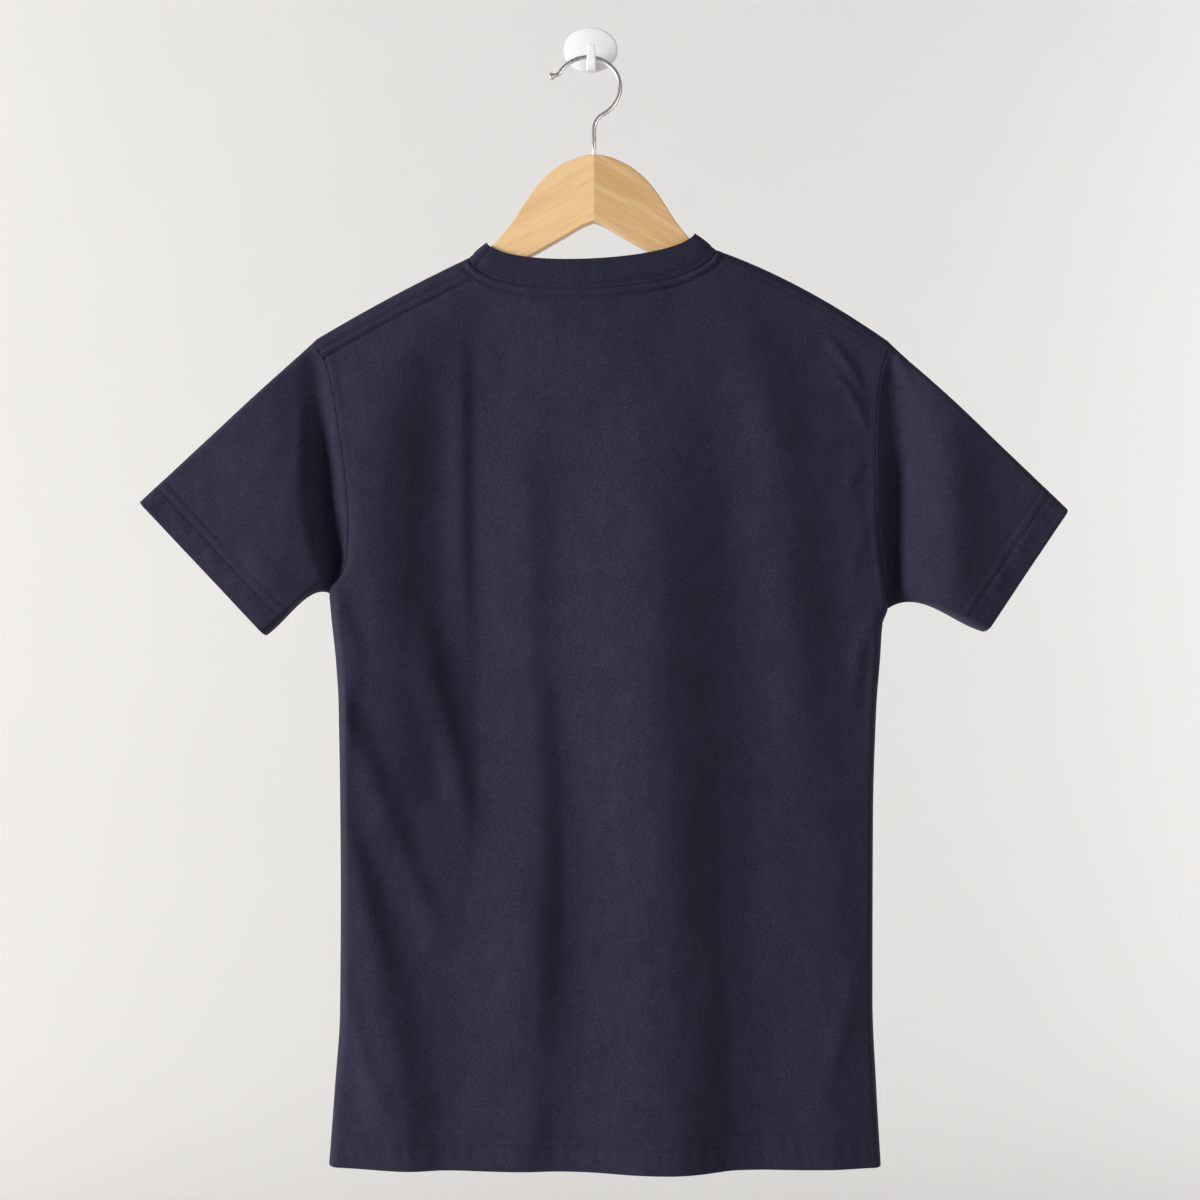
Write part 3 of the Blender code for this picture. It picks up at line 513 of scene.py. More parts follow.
# %% Folds as heights
FOOT = 0.12              # how sharply a crisp fold's side ends at its foot
CRISP_DOWN = (0.3, 0.7)  # shares of a fold's length between which its right foot turns crisp
CRISP_ASIDE = (-0.1, 0.3)        # and shares of its right width
FOLD_FADE = 0.3          # share of a fold's length over which each end fades
CREASE_FADE = 0.35       # and of a crease's


def fold_heights(folds, x, z):
    """Wide folds: how far they stand out at points of a panel."""
    total = np.zeros_like(x)
    for _name, path, left_width, right_width, size, crisp in folds:
        top, bottom = path[0][1], path[-1][1]
        t = (top - z) / (top - bottom)
        offset = x - curve([(point_z, point_x) for point_x, point_z in path], z)
        crispness = crisp * smooth(*CRISP_DOWN, t) * smooth(*CRISP_ASIDE, offset / right_width)
        offset = offset / np.where(offset < 0.0, left_width, right_width)
        soft = np.exp(-offset * offset)
        sharp = FOOT * np.logaddexp(0.0, (1.0 - offset * offset) / FOOT)
        ends = smooth(0.0, FOLD_FADE, t) * smooth(0.0, FOLD_FADE, 1.0 - t)
        total += size * lerp(soft, sharp, crispness) * ends
    return total


def nearest(line_x, line_z, x, z):
    """Distance of points from a line, the same with a sign for its side, and share along it."""
    distance = np.full(x.shape, 1e9)
    offset, along = np.zeros_like(x), np.zeros_like(x)
    for k in range(len(line_x) - 1):
        dx, dz = line_x[k + 1] - line_x[k], line_z[k + 1] - line_z[k]
        t = ((x - line_x[k]) * dx + (z - line_z[k]) * dz) / math.hypot(dx, dz) ** 2
        t = np.clip(t, 0.0, 1.0)
        away_x, away_z = x - line_x[k] - t * dx, z - line_z[k] - t * dz
        away = np.hypot(away_x, away_z)
        closer = away < distance
        distance = np.where(closer, away, distance)
        side = np.where(away_z * dx - away_x * dz > 0.0, 1.0, -1.0)
        offset = np.where(closer, side * away, offset)
        along = np.where(closer, (k + t) / (len(line_x) - 1), along)
    return distance, offset, along


def crease_heights(creases, x, z):
    """Creases in any direction: the nearest point of the path counts."""
    total = np.zeros_like(x)
    for _name, path, left_width, right_width, size in creases:
        knots = np.linspace(0.0, 1.0, len(path))
        spots = np.linspace(0.0, 1.0, 6 * len(path))
        line_x, line_z = (curve(list(zip(knots, places)), spots) for places in zip(*path))
        reach = 3.0 * max(left_width, right_width)
        near = ((x > line_x.min() - reach) & (x < line_x.max() + reach)
                & (z > line_z.min() - reach) & (z < line_z.max() + reach))
        _distance, offset, along = nearest(line_x, line_z, x[near], z[near])
        offset /= np.where(offset < 0.0, left_width, right_width)
        ends = smooth(0.0, CREASE_FADE, along) * smooth(0.0, CREASE_FADE, 1.0 - along)
        total[near] += size * np.exp(-offset * offset) * ends
    return total


def unevenness(x, z, seed):
    """Slow, slight waves that no cloth is without."""
    random = np.random.default_rng(seed)
    total = np.zeros_like(x)
    for wavelength, height in ((120.0, 0.30), (70.0, 0.14), (38.0, 0.05), (21.0, 0.02)):
        for _ in range(5):
            angle = random.uniform(-0.4, 0.4)
            phase = random.uniform(0.0, 2.0 * math.pi)
            wave = (x * math.cos(angle) + z * math.sin(angle)) * 2.0 * math.pi / wavelength
            total += height * np.sin(wave + phase + 1.3 * np.sin(z / wavelength + phase))
    return total


# %% [markdown]
# ### Seams and hems as heights
#
# A twin needle leaves two sunk lines with the cloth standing up a little between them, and a
# turned hem is thicker than the cloth above it. `groove` gives one such line, by its distance from
# an edge, and `grooves` a few of them. A groove with a depth below 0 is a ridge.

# %% Grooves
HEM_LINES = (19.5, 27.0)         # the two needle lines above the hem's edge
CUFF_LINES = (19.0, 26.0)
HEM_RISE = 0.5                   # a turned hem stands this much proud
NECK_LINE = 6.4                  # the needle line below the neck seam
RIB_LINE = 3.8                   # and the one above it, on the rib
RIB_WIDTH = 19.0
SHOULDER_LINES = {
    # side: distance from the shoulder edge and depth of each needle line
    "left": {11.5: 0.7, 18.0: 1.5},
    "right": {9.0: 0.7},
}
SHOULDER_SLOPE = 0.89            # distance from the shoulder edge for each unit straight down
NECK_GROOVES = (
    # distance from the seam, width, depth
    (3.4, 1.8, -0.9), (NECK_LINE, 1.5, 1.4), (0.0, 1.1, 0.9),
)
ARMHOLE_GROOVES = ((3.2, 2.0, -0.35), (0.0, 1.1, 0.15))


def groove(distance, place, width, depth):
    return -depth * np.exp(-((distance - place) / width) ** 2)


def grooves(distance, rows):
    return sum(groove(distance, *row) for row in rows)


def hem_profile(distance, lines, along):
    """Height of a turned hem at a distance from its edge, with slight puckers along it."""
    band = 1.0 - smooth(lines[1] - 0.5, lines[1] + 1.2, distance)
    height = HEM_RISE * band
    for line in lines:
        height = height + groove(distance, line, 1.2, 0.75)
    puckers = np.sin(along * 0.62 + 1.4 * np.sin(along * 0.11)) * np.sin(along * 0.083 + 0.7)
    height = height + 0.42 * puckers * np.exp(-((distance - lines[0] + 5.0) / 8.0) ** 2)
    return height - 0.7 * (1.0 - quarter(distance / 1.2))


def hem_thickness(distance, lines):
    """Thickness at a distance from a hem's edge, as a share of the turned hem's."""
    turned = 1.0 - smooth(lines[1], lines[1] + 2.0, distance)
    return lerp(CLOTH_THICKNESS / HEM_THICKNESS, 1.0, turned)


# %% [markdown]
# ### From grids to cloth
#
# Each cut piece becomes a grid of points, joined to faces and given a thickness with Solidify. The
# grid has close rows where there are seams and hems, and wider ones in between. Sheets of cloth
# are made from their own points here and not from a primitive, because every point has to hang
# where the frame says.

# %% Grids and meshes
def spaced(length, start, end, fine, coarse):
    """Distances from 0 to length, close together over start and end."""
    stretches = ((0.0, start, fine), (start, length - start - end, coarse),
                 (length - end, end, fine))
    parts = [first + np.linspace(0.0, span, max(1, round(span / step)), endpoint=False)
             for first, span, step in stretches if span > 0.0]
    return np.append(np.concatenate(parts), length)


def select_only(item):
    bpy.ops.object.select_all(action="DESELECT")
    item.select_set(True)
    bpy.context.view_layer.objects.active = item


def apply_all(item):
    select_only(item)
    for modifier in list(item.modifiers):
        bpy.ops.object.modifier_apply(modifier=modifier.name)
    print(item.name, "has", len(item.data.polygons), "faces")


def mesh_object(name, points, faces, material):
    """A smooth object from points in metres and faces."""
    mesh = bpy.data.meshes.new(name)
    mesh.from_pydata(points.tolist(), [], faces)
    mesh.materials.append(material)
    mesh.shade_smooth()
    item = bpy.data.objects.new(name, mesh)
    bpy.context.scene.collection.objects.link(item)
    return item


def cloth_object(name, points, flat, material, outward, closed=False, thickness=None):
    """A piece of cloth from a grid of points in millimetres and their flat places.

    outward is the direction that the middle of the grid faces, or of its first half where it
    closes to a tube. thickness is one number for each point, as a share of a turned hem's.
    """
    rows, columns = points.shape[:2]
    i, k = np.meshgrid(np.arange(rows - 1), np.arange(columns if closed else columns - 1),
                       indexing="ij")
    i, k = i.ravel(), k.ravel()
    n = (k + 1) % columns
    quads = np.stack([i * columns + k, (i + 1) * columns + k, (i + 1) * columns + n,
                      i * columns + n], axis=1)
    places = np.stack([flat[i, k], flat[i + 1, k], flat[i + 1, k + 1], flat[i, k + 1]], axis=1)
    row, column = rows // 2, columns // 4 if closed else columns // 2
    down = points[row + 1, column] - points[row, column]
    along = points[row, column + 1] - points[row, column]
    if np.dot(np.cross(down, along), outward) < 0.0:
        quads, places = quads[:, ::-1], places[:, ::-1]
    item = mesh_object(name, points.reshape(-1, 3) * MM, quads.tolist(), material)
    layer = item.data.uv_layers.new(name="cut")
    layer.data.foreach_set("uv", (places.reshape(-1, 2) * MM).astype(np.float32).ravel())
    solidify = item.modifiers.new("thickness", "SOLIDIFY")
    solidify.offset = -1.0
    solidify.thickness = CLOTH_THICKNESS * MM
    if thickness is not None:
        group = item.vertex_groups.new(name="thick")
        for level in np.unique(np.round(thickness, 2)):
            chosen = np.nonzero(np.round(thickness.ravel(), 2) == level)[0]
            group.add(chosen.tolist(), float(level), "REPLACE")
        solidify.vertex_group = "thick"
        solidify.thickness = HEM_THICKNESS * MM
    apply_all(item)
    if thickness is not None:
        item.vertex_groups.clear()
    return item


# %% [markdown]
# ## Back and front
#
# Both panels are cut alike but for the neckline. The outline is blended between the shoulder line,
# the hem and the two sides, then hung over the hanger, and folds, creases, seams and hem are added
# as heights outwards.

# %% Panels
ARMHOLE_DROP = SHOULDERS["left"][3] - ARMPIT_Z["left"]
PANEL_DROP = SHOULDERS["left"][3] - HEM_Z
NECK_COLUMNS = (0.0, 0.5, 1.2, 2.2, 3.5, 5.2, 7.2)   # close together, inwards from a neck end
NECK_MARGIN = 10.0       # where the even columns between them begin
CLEAR = (6.0, 16.0)      # distances from a seam between which other relief sets in


def side_edge(side, down):
    """Side edge of a panel and how far along its armhole and side seam, at a drop on the left."""
    armhole = np.clip(down / ARMHOLE_DROP, 0.0, 1.0)
    seam = np.clip((down - ARMHOLE_DROP) / (PANEL_DROP - ARMHOLE_DROP), 0.0, 1.0)
    z = lerp(lerp(SHOULDERS[side][3], ARMPIT_Z[side], armhole), HEM_Z, seam)
    return curve(EDGES[side], z), z, armhole, seam


def soft_ridge(x):
    """The ridge line without its corners, for the cloth further down."""
    steps = (-30.0, -18.0, -6.0, 6.0, 18.0, 30.0)
    return sum(np.minimum(ridge_z(x + step), RIB_CORNERS["left"][1]) for step in steps) / 6.0


def hung(panel, x, z, inset=0.0):
    """Depth and height of smooth cloth over the hanger, inset through its thickness."""
    sign = -1.0 if panel == "back" else 1.0
    below, soft_below = ridge_z(x) - z, soft_ridge(x) - z
    turned = quarter(below / SHOULDER_ROUND)
    y = hanger_y(x, CLOTH_ROUND) + sign * (SEAM_GAP / 2.0 + (SHOULDER_ROUND - inset) * turned)
    z = z - inset * np.clip(1.0 - below / SHOULDER_ROUND, 0.0, None)
    if panel == "back":
        across = (x - BODY_MIDDLE_X) / BODY_HALF_WIDTH
        low = lerp(BACK_MIDDLE_Y, BACK_SIDE_Y, np.minimum(1.0, across * across)) + inset
        y = lerp(y, low, smooth(*BACK_FALL, soft_below))
        return y - fold_heights(BACK_FOLDS, x, z) * smooth(*FOLD_START, soft_below), z
    y = lerp(y, FRONT_Y - inset, smooth(*FRONT_FALL, soft_below))
    return y - fold_heights(FRONT_FOLDS, x, z), z


def panel_surface(panel, share, down, detail=True):
    """Points of a panel for shares of the width and drops along the left edge."""
    sign = -1.0 if panel == "back" else 1.0
    left, left_z, armhole, seam = side_edge("left", down)
    right, right_z = side_edge("right", down)[:2]
    v = down / PANEL_DROP
    tips = [SHOULDERS[s][2:4] for s in ("left", "right")]
    hem_left, hem_right = EDGES["left"][-1][1], EDGES["right"][-1][1]
    top_x = lerp(tips[0][0], tips[1][0], share)
    x = lerp(top_x, lerp(hem_left, hem_right, share), v)
    x = x + (left - lerp(tips[0][0], hem_left, v)) * (1.0 - share) ** SIDE_PULL
    x = x + (right - lerp(tips[1][0], hem_right, v)) * share ** SIDE_PULL
    z = lerp(top_z(panel, top_x), HEM_Z, v)
    z = z + (left_z - lerp(tips[0][1], HEM_Z, v)) * (1.0 - share) ** SIDE_PULL
    z = z + (right_z - lerp(tips[1][1], HEM_Z, v)) * share ** SIDE_PULL
    opened = np.where(seam > 0.0, 0.0, np.sqrt(1.0 - np.clip(2.0 * armhole - 1.0, 0.0, 1.0) ** 2))
    turn = quarter((x - left) / SIDE_ROUND["left"]) * quarter((right - x) / SIDE_ROUND["right"])
    y, z = hung(panel, x, z)
    if detail:
        y = y + sign * panel_detail(panel, x, z, left, right, opened)
    seam_y = SIDE_SEAM_Y + sign * SEAM_GAP / 2.0
    y = lerp(seam_y, y, lerp(turn, 1.0, opened))
    return np.stack(np.broadcast_arrays(x, y, z), axis=-1)


def panel_detail(panel, x, z, left, right, opened):
    """Creases, seams and hem of a panel, as a height outwards."""
    edge = np.minimum(x - left, right - x)
    below = ridge_z(x) - z
    neck_x, neck_z = neck_point(panel, np.linspace(0.0, 1.0, 60), "seam")
    neck = nearest(neck_x, neck_z, x, z)[0]
    beside = smooth(*CLEAR, neck)
    creases, seed = (BACK_CREASES, 11) if panel == "back" else (FRONT_CREASES, 12)
    height = crease_heights(creases, x, z) + unevenness(x, z, seed)
    height = height * smooth(14.0, 40.0, below) * smooth(2.0, 9.0, edge)
    height = height + grooves(neck, NECK_GROOVES)
    if panel == "back":
        from_edge = below * SHOULDER_SLOPE
        for side, inside in (("left", x < HANGER_X), ("right", x >= HANGER_X)):
            for line, depth in SHOULDER_LINES[side].items():
                height = height + groove(from_edge, line, 1.3, depth) * inside * beside
        height = height + groove(from_edge, 14.4, 2.0, -0.6) * beside * (x < 0.0)
        height = height + groove(from_edge, 4.6, 0.9, 0.7) * beside
    lip = grooves(edge, ARMHOLE_GROOVES) * np.where(x > HANGER_X, 0.5, 1.0)
    puckers = groove(edge, 3.0, 2.6, -0.30) * np.sin(z * 0.72 + 1.7 * np.sin(z * 0.13))
    height = height + (lip + puckers) * opened * smooth(*CLEAR, below)
    return height + hem_profile(z - HEM_Z, HEM_LINES, x)


def build_panel(panel, coarse):
    left, right = SHOULDERS["left"][2], SHOULDERS["right"][2]
    neck_left, neck_right = SHOULDERS["left"][0], SHOULDERS["right"][0]
    close = np.array(NECK_COLUMNS)
    between = spaced(neck_right - neck_left - 2.0 * NECK_MARGIN, 0.0, 0.0, 1.0, coarse)
    columns = np.concatenate([
        left + spaced(neck_left - left, 12.0, 4.0, 1.0, coarse)[:-1],
        neck_left + close, between + neck_left + NECK_MARGIN, neck_right - close[::-1],
        neck_right + spaced(right - neck_right, 4.0, 12.0, 1.0, coarse)[1:]])
    down = spaced(PANEL_DROP, 26.0, 31.0, 1.0, coarse)
    share = ((columns - left) / (right - left))[None, :]
    points = panel_surface(panel, share, down[:, None])
    thick = hem_thickness(points[..., 2] - HEM_Z, HEM_LINES)
    outward = (0.0, -1.0 if panel == "back" else 1.0, 0.0)
    return cloth_object(panel + "_cloth", points, points[..., ::2], jersey, outward,
                        thickness=thick)


back_cloth = build_panel("back", 2.9)
front_cloth = build_panel("front", 4.6)

# %% [markdown]
# ## Sleeves
#
# A sleeve is one piece of jersey closed under the arm. It starts at the armhole's loop and narrows
# to an open cuff. Hung up, its back half sinks to a deep valley beside the seam, because the
# armhole was cut for a raised arm.

# %% Sleeves
SLEEVES = {
    # side: cuff top x, z, cuff bottom x, z, cuff's depth and half depth, bulge, underarm hollow
    "left": (-350.0, -355.0, -252.0, -459.0, -14.5, 10.0, 9.0, 8.0),
    "right": (368.0, -361.0, 304.0, -456.0, -20.0, 16.0, 6.0, 10.0),
}
SLEEVE_ROUND = 6.5
SLEEVE_LENGTH = 165.0
ARMHOLE_LENGTH = 205.0
HOLLOW_PEAK = 6.75       # brings the peak of s (1 - s)^2 to 1
SEAM_EASE = 8.0          # a sleeve's folds start over this distance from the seam
SLEEVE_ROOM = 5.0        # the two walls and some air, which a valley leaves free
SLEEVE_EDGE = (-2.4, -1.4, -0.8, -0.35, 0.0, 0.35)   # the sleeve's first rows, from the seam
TUCK = 1.5               # how far the rows inside the armhole lie below the panel's cloth
TUCK_SPAN = {"left": (0.1, -1.2), "right": (0.5, -0.9)}      # where they sink, from the seam


def sleeve_surface(side, s, q, facing):
    """Points of a sleeve: s from armhole to cuff, q from its top edge to the underarm."""
    top_x, top_height, low_x, low_height, middle_y, half_depth, bulge, hollow = SLEEVES[side]
    share = 0.0 if side == "left" else 1.0
    down = q * ARMHOLE_DROP
    back = panel_surface("back", share, down, False)
    front = panel_surface("front", share, down, False)
    start = np.where((facing > 0.0)[..., None], back, front)
    cuff_width = math.hypot(top_x - low_x, top_height - low_height)
    cuff_x, cuff_z = lerp(top_x, low_x, q), lerp(top_height, low_height, q)
    length = np.hypot(cuff_x - start[..., 0], cuff_z - start[..., 2])
    t = lerp(SEAM_GAP / length, 1.0, s)
    x, z = lerp(start[..., 0], cuff_x, t), lerp(start[..., 2], cuff_z, t)
    z = z + hollow * HOLLOW_PEAK * s * (1.0 - s) ** 2 * q ** 4
    width = lerp(ARMHOLE_LENGTH, cuff_width, s)
    rounded = quarter(q * width / SLEEVE_ROUND) * quarter((1.0 - q) * width / SLEEVE_ROUND)
    depth = half_depth + np.where(facing > 0.0, bulge * np.sin(math.pi * s)
                                  * np.sin(math.pi * q), 0.0)
    freed = smooth(0.0, 0.5, s)
    y = lerp(start[..., 1], middle_y - facing * depth * rounded, freed)
    seam, cuff = s * length, (1.0 - s) * length
    folds = fold_heights(SLEEVE_FOLDS[side], x, z) * smooth(0.0, SEAM_EASE, seam)
    opening = lerp(front[..., 1] - back[..., 1], 2.0 * half_depth * rounded, freed)
    room = np.maximum(0.1, opening - SLEEVE_ROOM)
    folds = np.where(folds > 0.0, folds, -room * np.tanh(-folds / room))
    creases = crease_heights(SLEEVE_CREASES[side], x, z) * smooth(0.0, 5.0, seam)
    height = np.where(facing > 0.0, folds + creases, 0.0)
    height = height + unevenness(x, z, 21) * smooth(0.0, 12.0, seam) * 0.8
    tucked = TUCK * smooth(*TUCK_SPAN[side], seam)
    z = z + tucked * (2.0 * q - 1.0)
    height = (height - tucked) * rounded
    height = height + hem_profile(cuff, CUFF_LINES, q * cuff_width) * (0.3 + 0.7 * rounded)
    return np.stack(np.broadcast_arrays(x, y - facing * height, z), axis=-1), length


def build_sleeve(side):
    back = spaced(ARMHOLE_LENGTH, 10.0, 10.0, 1.4, 2.7) / ARMHOLE_LENGTH
    front = spaced(ARMHOLE_LENGTH, 10.0, 10.0, 1.4, 4.0)[::-1][1:-1] / ARMHOLE_LENGTH
    q = np.concatenate([back, front])[None, :]
    facing = np.concatenate([np.ones(len(back)), -np.ones(len(front))])[None, :]
    rows = np.concatenate([SLEEVE_EDGE, spaced(SLEEVE_LENGTH, 8.0, 30.0, 1.0, 2.7)[1:]])
    s = rows[:, None] / SLEEVE_LENGTH
    points, lengths = sleeve_surface(side, s, q * np.ones_like(s), facing * np.ones_like(s))
    around = np.concatenate([back * ARMHOLE_LENGTH, 2.0 * ARMHOLE_LENGTH - front * ARMHOLE_LENGTH,
                             [2.0 * ARMHOLE_LENGTH]])
    flat = np.stack(np.broadcast_arrays(around[None, :], -s * SLEEVE_LENGTH), axis=-1)
    thick = hem_thickness((1.0 - s) * lengths, CUFF_LINES)
    return cloth_object("sleeve_cloth_" + side, points, flat, jersey, (0.0, -1.0, 0.0), True, thick)


sleeve_left = build_sleeve("left")
sleeve_right = build_sleeve("right")

# %% [markdown]
# ## Neck rib
#
# The rib is a band of rib knit, folded double along its length and sewn into a ring that is a
# little shorter than the neckline, so that it stands up and hugs the neck. The grid follows the
# real folding: up the outer face, round the fold and down the inner face.

# %% Rib
RIB_DEPTH = 2.2          # outer face to inner face
RIB_LENGTH = 190.0       # across the back of the neck
RIB_JOINT = 4.6          # where the ring's ends are sewn together, from the left shoulder
FOLD_STEPS = 6
RIB_ALLOWANCE = (
    # distance above the seam, how far inside the outer face
    (-5.0, 1.35), (-2.5, 1.3), (-0.6, 1.25), (0.1, 1.15),
)


def rib_ring(edge, inset, across):
    parts = []
    for panel, order in (("back", across), ("front", across[::-1][1:-1])):
        x, z = neck_point(panel, order, edge)
        y, z = hung(panel, x, z, inset)
        parts.append(np.stack([x, y, z], axis=-1))
    return np.concatenate(parts)


def build_rib():
    angle = np.linspace(0.0, math.pi, 150)
    across = (1.0 - np.cos(angle)) / 2.0
    seam_out, seam_in = (rib_ring("seam", inset, across) for inset in (0.0, RIB_DEPTH))
    edge_out, edge_in = (rib_ring("edge", inset, across) for inset in (0.0, RIB_DEPTH))
    radius = (edge_in - edge_out) / 2.0
    up = edge_out - seam_out
    width = np.linalg.norm(up, axis=-1, keepdims=True)
    up = up / width
    reach = np.linalg.norm(radius, axis=-1, keepdims=True)
    short = 1.0 - reach / width
    out = -radius / reach
    joint = np.zeros((len(seam_out), 1))
    joint[:len(across), 0] = groove(across * RIB_LENGTH, RIB_JOINT, 1.5, 1.1)
    rows, flat_rows = [], []
    for distance, inset in RIB_ALLOWANCE:
        rows.append(lerp(seam_out, edge_out, distance / RIB_WIDTH) - out * inset)
        flat_rows.append(distance)
    for t in np.linspace(0.03, 1.0, 20):
        place = lerp(seam_out, edge_out, t * short)
        distance = t * RIB_WIDTH
        height = groove(distance, RIB_LINE, 1.1, 0.8) - 0.9 * math.exp(-distance / 0.9)
        height += 0.7 * math.sin(math.pi * t) ** 0.7
        rows.append(place + out * (height + joint))
        flat_rows.append(distance)
    centre = lerp(lerp(seam_out, edge_out, short), lerp(seam_in, edge_in, short), 0.5)
    for k in range(1, FOLD_STEPS):
        turn = math.pi * k / FOLD_STEPS
        rows.append(centre + out * reach * math.cos(turn) + up * reach * math.sin(turn))
        flat_rows.append(RIB_WIDTH + RIB_DEPTH * turn / 2.0)
    for t in np.linspace(1.0, -0.26, 11):
        rows.append(lerp(seam_in, edge_in, t * short) - out * smooth(0.1, -0.1, t) * 0.4)
        flat_rows.append(RIB_WIDTH * (2.0 - t) + RIB_DEPTH * 1.57)
    points = np.array(rows)
    steps = np.linalg.norm(np.diff(points[0], axis=0, append=points[0][:1]), axis=-1)
    around = np.concatenate([[0.0], np.cumsum(steps)])
    flat = np.stack(np.broadcast_arrays(around[None, :], np.array(flat_rows)[:, None]), axis=-1)
    print("neckline", round(around[-1]), "mm round")
    return cloth_object("neck_rib_knit", points, flat, rib_knit, (0.0, -1.0, 0.0), True)


neck_rib = build_rib()

# %% [markdown]
# ## Wooden arms
#
# The hanger's body is cut from a board on a bandsaw, swept a little in plan, and its edges are
# rounded on a router. We start with a plane that faces along the arm, and extrude it from station
# to station, each time drawing it to the board's height there. The other arm is a mirror image,
# and the middle keeps the crisp ridge where the two swept faces meet.

# %% Sizes of the wood
WOOD_THICKNESS = 12.5
WOOD_TOP = (
    # distance from the middle, height
    (0.0, -88.8), (7.0, -89.4), (18.5, -92.8), (27.0, -96.8), (37.0, -104.2), (44.6, -112.0),
    (50.4, -119.8), (55.4, -127.4), (60.0, -135.2), (65.6, -142.8), (71.4, -149.8),
    (78.0, -157.2), (86.0, -164.0), (95.0, -169.8), (106.0, -175.6), (200.0, -224.4),
)
WOOD_BOTTOM = (
    (0.0, -140.4), (6.5, -142.6), (13.5, -146.4), (24.0, -152.4), (41.0, -161.8), (106.0, -195.8),
    (200.0, -244.4),
)
WOOD_END = 11.0          # length over which an arm's end is rounded
WOOD_TIP = 0.45          # share of the thickness that is left at the very end
WOOD_SLOPE = 0.52        # an arm's fall beyond the tables
ON_MIDDLE = 0.05         # what is this near the middle plane lies in it
WOOD_STATIONS = (0.0, 3.0, 7.0, 12.0, 18.0, 24.0, 30.0, 36.0, 41.0, 46.0, 51.0, 56.0, 62.0, 69.0,
                 77.0, 86.0, 96.0, 110.0, 140.0, 170.0, 200.0, 205.0, 208.5, 210.6)
WOOD_EDGE = 3.4          # radius of the routed edges


def arm_section(distance):
    """Middle depth and height, and size, of the board at a distance from the middle."""
    keep = float(quarter((WOOD_STATIONS[-1] + 0.4 - distance) / WOOD_END))
    beyond = max(0.0, distance - WOOD_TOP[-1][0]) * WOOD_SLOPE
    top = float(curve(WOOD_TOP, distance)) - beyond
    bottom = float(curve(WOOD_BOTTOM, distance)) - beyond
    depth = WOOD_THICKNESS * lerp(WOOD_TIP, 1.0, keep)
    return float(hanger_y(HANGER_X + distance)), (top + bottom) / 2.0, depth, (top - bottom) * keep


# %% Helpers for hand modelling
def start_edit(item):
    select_only(item)
    bpy.ops.object.mode_set(mode="EDIT")
    bpy.ops.mesh.select_all(action="SELECT")


def end_edit():
    bpy.ops.mesh.select_all(action="SELECT")
    bpy.ops.mesh.remove_doubles(threshold=0.00001)
    bpy.ops.mesh.normals_make_consistent(inside=False)
    bpy.ops.object.mode_set(mode="OBJECT")


def named(name, material):
    item = bpy.context.object
    item.name = item.data.name = name
    item.data.materials.append(material)
    bpy.ops.object.transform_apply(location=True, rotation=True, scale=True)
    return item


def push(x, y, z):
    bpy.ops.mesh.extrude_region_move(TRANSFORM_OT_translate={"value": (x * MM, y * MM, z * MM)})


def scale_at(centre, x, y, z):
    place = [value * MM for value in centre]
    bpy.ops.transform.resize(value=(x, y, z), center_override=place)


def select_faces(item, wanted):
    """In edit mode, select just the faces whose centre passes a test."""
    bm = bmesh.from_edit_mesh(item.data)
    bpy.ops.mesh.select_all(action="DESELECT")
    for face in bm.faces:
        if wanted(face.calc_center_median() / MM):
            face.select_set(True)
    bmesh.update_edit_mesh(item.data)


def select_edges(item, wanted):
    """The same for edges, by their two ends."""
    bm =bmesh.from_edit_mesh(item.data)
    bpy.ops.mesh.select_all(action="DESELECT")
    bpy.ops.mesh.select_mode(type="EDGE")
    for edge in bm.edges:
        if wanted(*(vertex.co / MM for vertex in edge.verts)):
            edge.select_set(True)
    bmesh.update_edit_mesh(item.data)


# %% The arms
def build_arms():
    y, z, depth, height = arm_section(0.0)
    bpy.ops.object.select_all(action="DESELECT")
    bpy.ops.mesh.primitive_plane_add(size=MM, location=(HANGER_X * MM, y * MM, z * MM),
                                     rotation=(0.0, math.radians(90), 0.0))
    item = named("hanger_arms", wood)
    start_edit(item)
    scale_at((HANGER_X, y, z), 1.0, depth, height)
    for near, far in zip(WOOD_STATIONS, WOOD_STATIONS[1:]):
        old_depth, old_height = depth, height
        new_y, new_z, depth, height = arm_section(far)
        push(far - near, new_y - y, new_z - z)
        y, z = new_y, new_z
        scale_at((HANGER_X + far, y, z), 1.0, depth / old_depth, height / old_height)
    select_edges(item, lambda a, b: abs(a.x - b.x) > 0.5)
    bpy.ops.mesh.bevel(offset=WOOD_EDGE * MM, segments=4, profile=0.5, clamp_overlap=True)
    bpy.ops.mesh.select_mode(type="FACE")
    end_edit()
    start_edit(item)
    select_faces(item, lambda centre: abs(centre.x - HANGER_X) < ON_MIDDLE)
    bpy.ops.mesh.delete(type="FACE")
    bpy.ops.object.mode_set(mode="OBJECT")
    for vertex in item.data.vertices:
        vertex.co.x -= HANGER_X * MM
    mirror = item.modifiers.new("other arm", "MIRROR")
    mirror.merge_threshold = 0.00005
    apply_all(item)
    for vertex in item.data.vertices:
        vertex.co.x += HANGER_X * MM
    ridge = item.data.attributes.new("crease_edge", "FLOAT", "EDGE")
    for edge in item.data.edges:
        ends = [item.data.vertices[k].co for k in edge.vertices]
        on_ridge = all(abs(end.x / MM - HANGER_X) < ON_MIDDLE for end in ends)
        ridge.data[edge.index].value = 0.85 if on_ridge else 0.0
    smoothing = item.modifiers.new("smooth", "SUBSURF")
    smoothing.levels = smoothing.render_levels = 2
    apply_all(item)
    item.data.shade_smooth()
    return item


hanger_arms = build_arms()

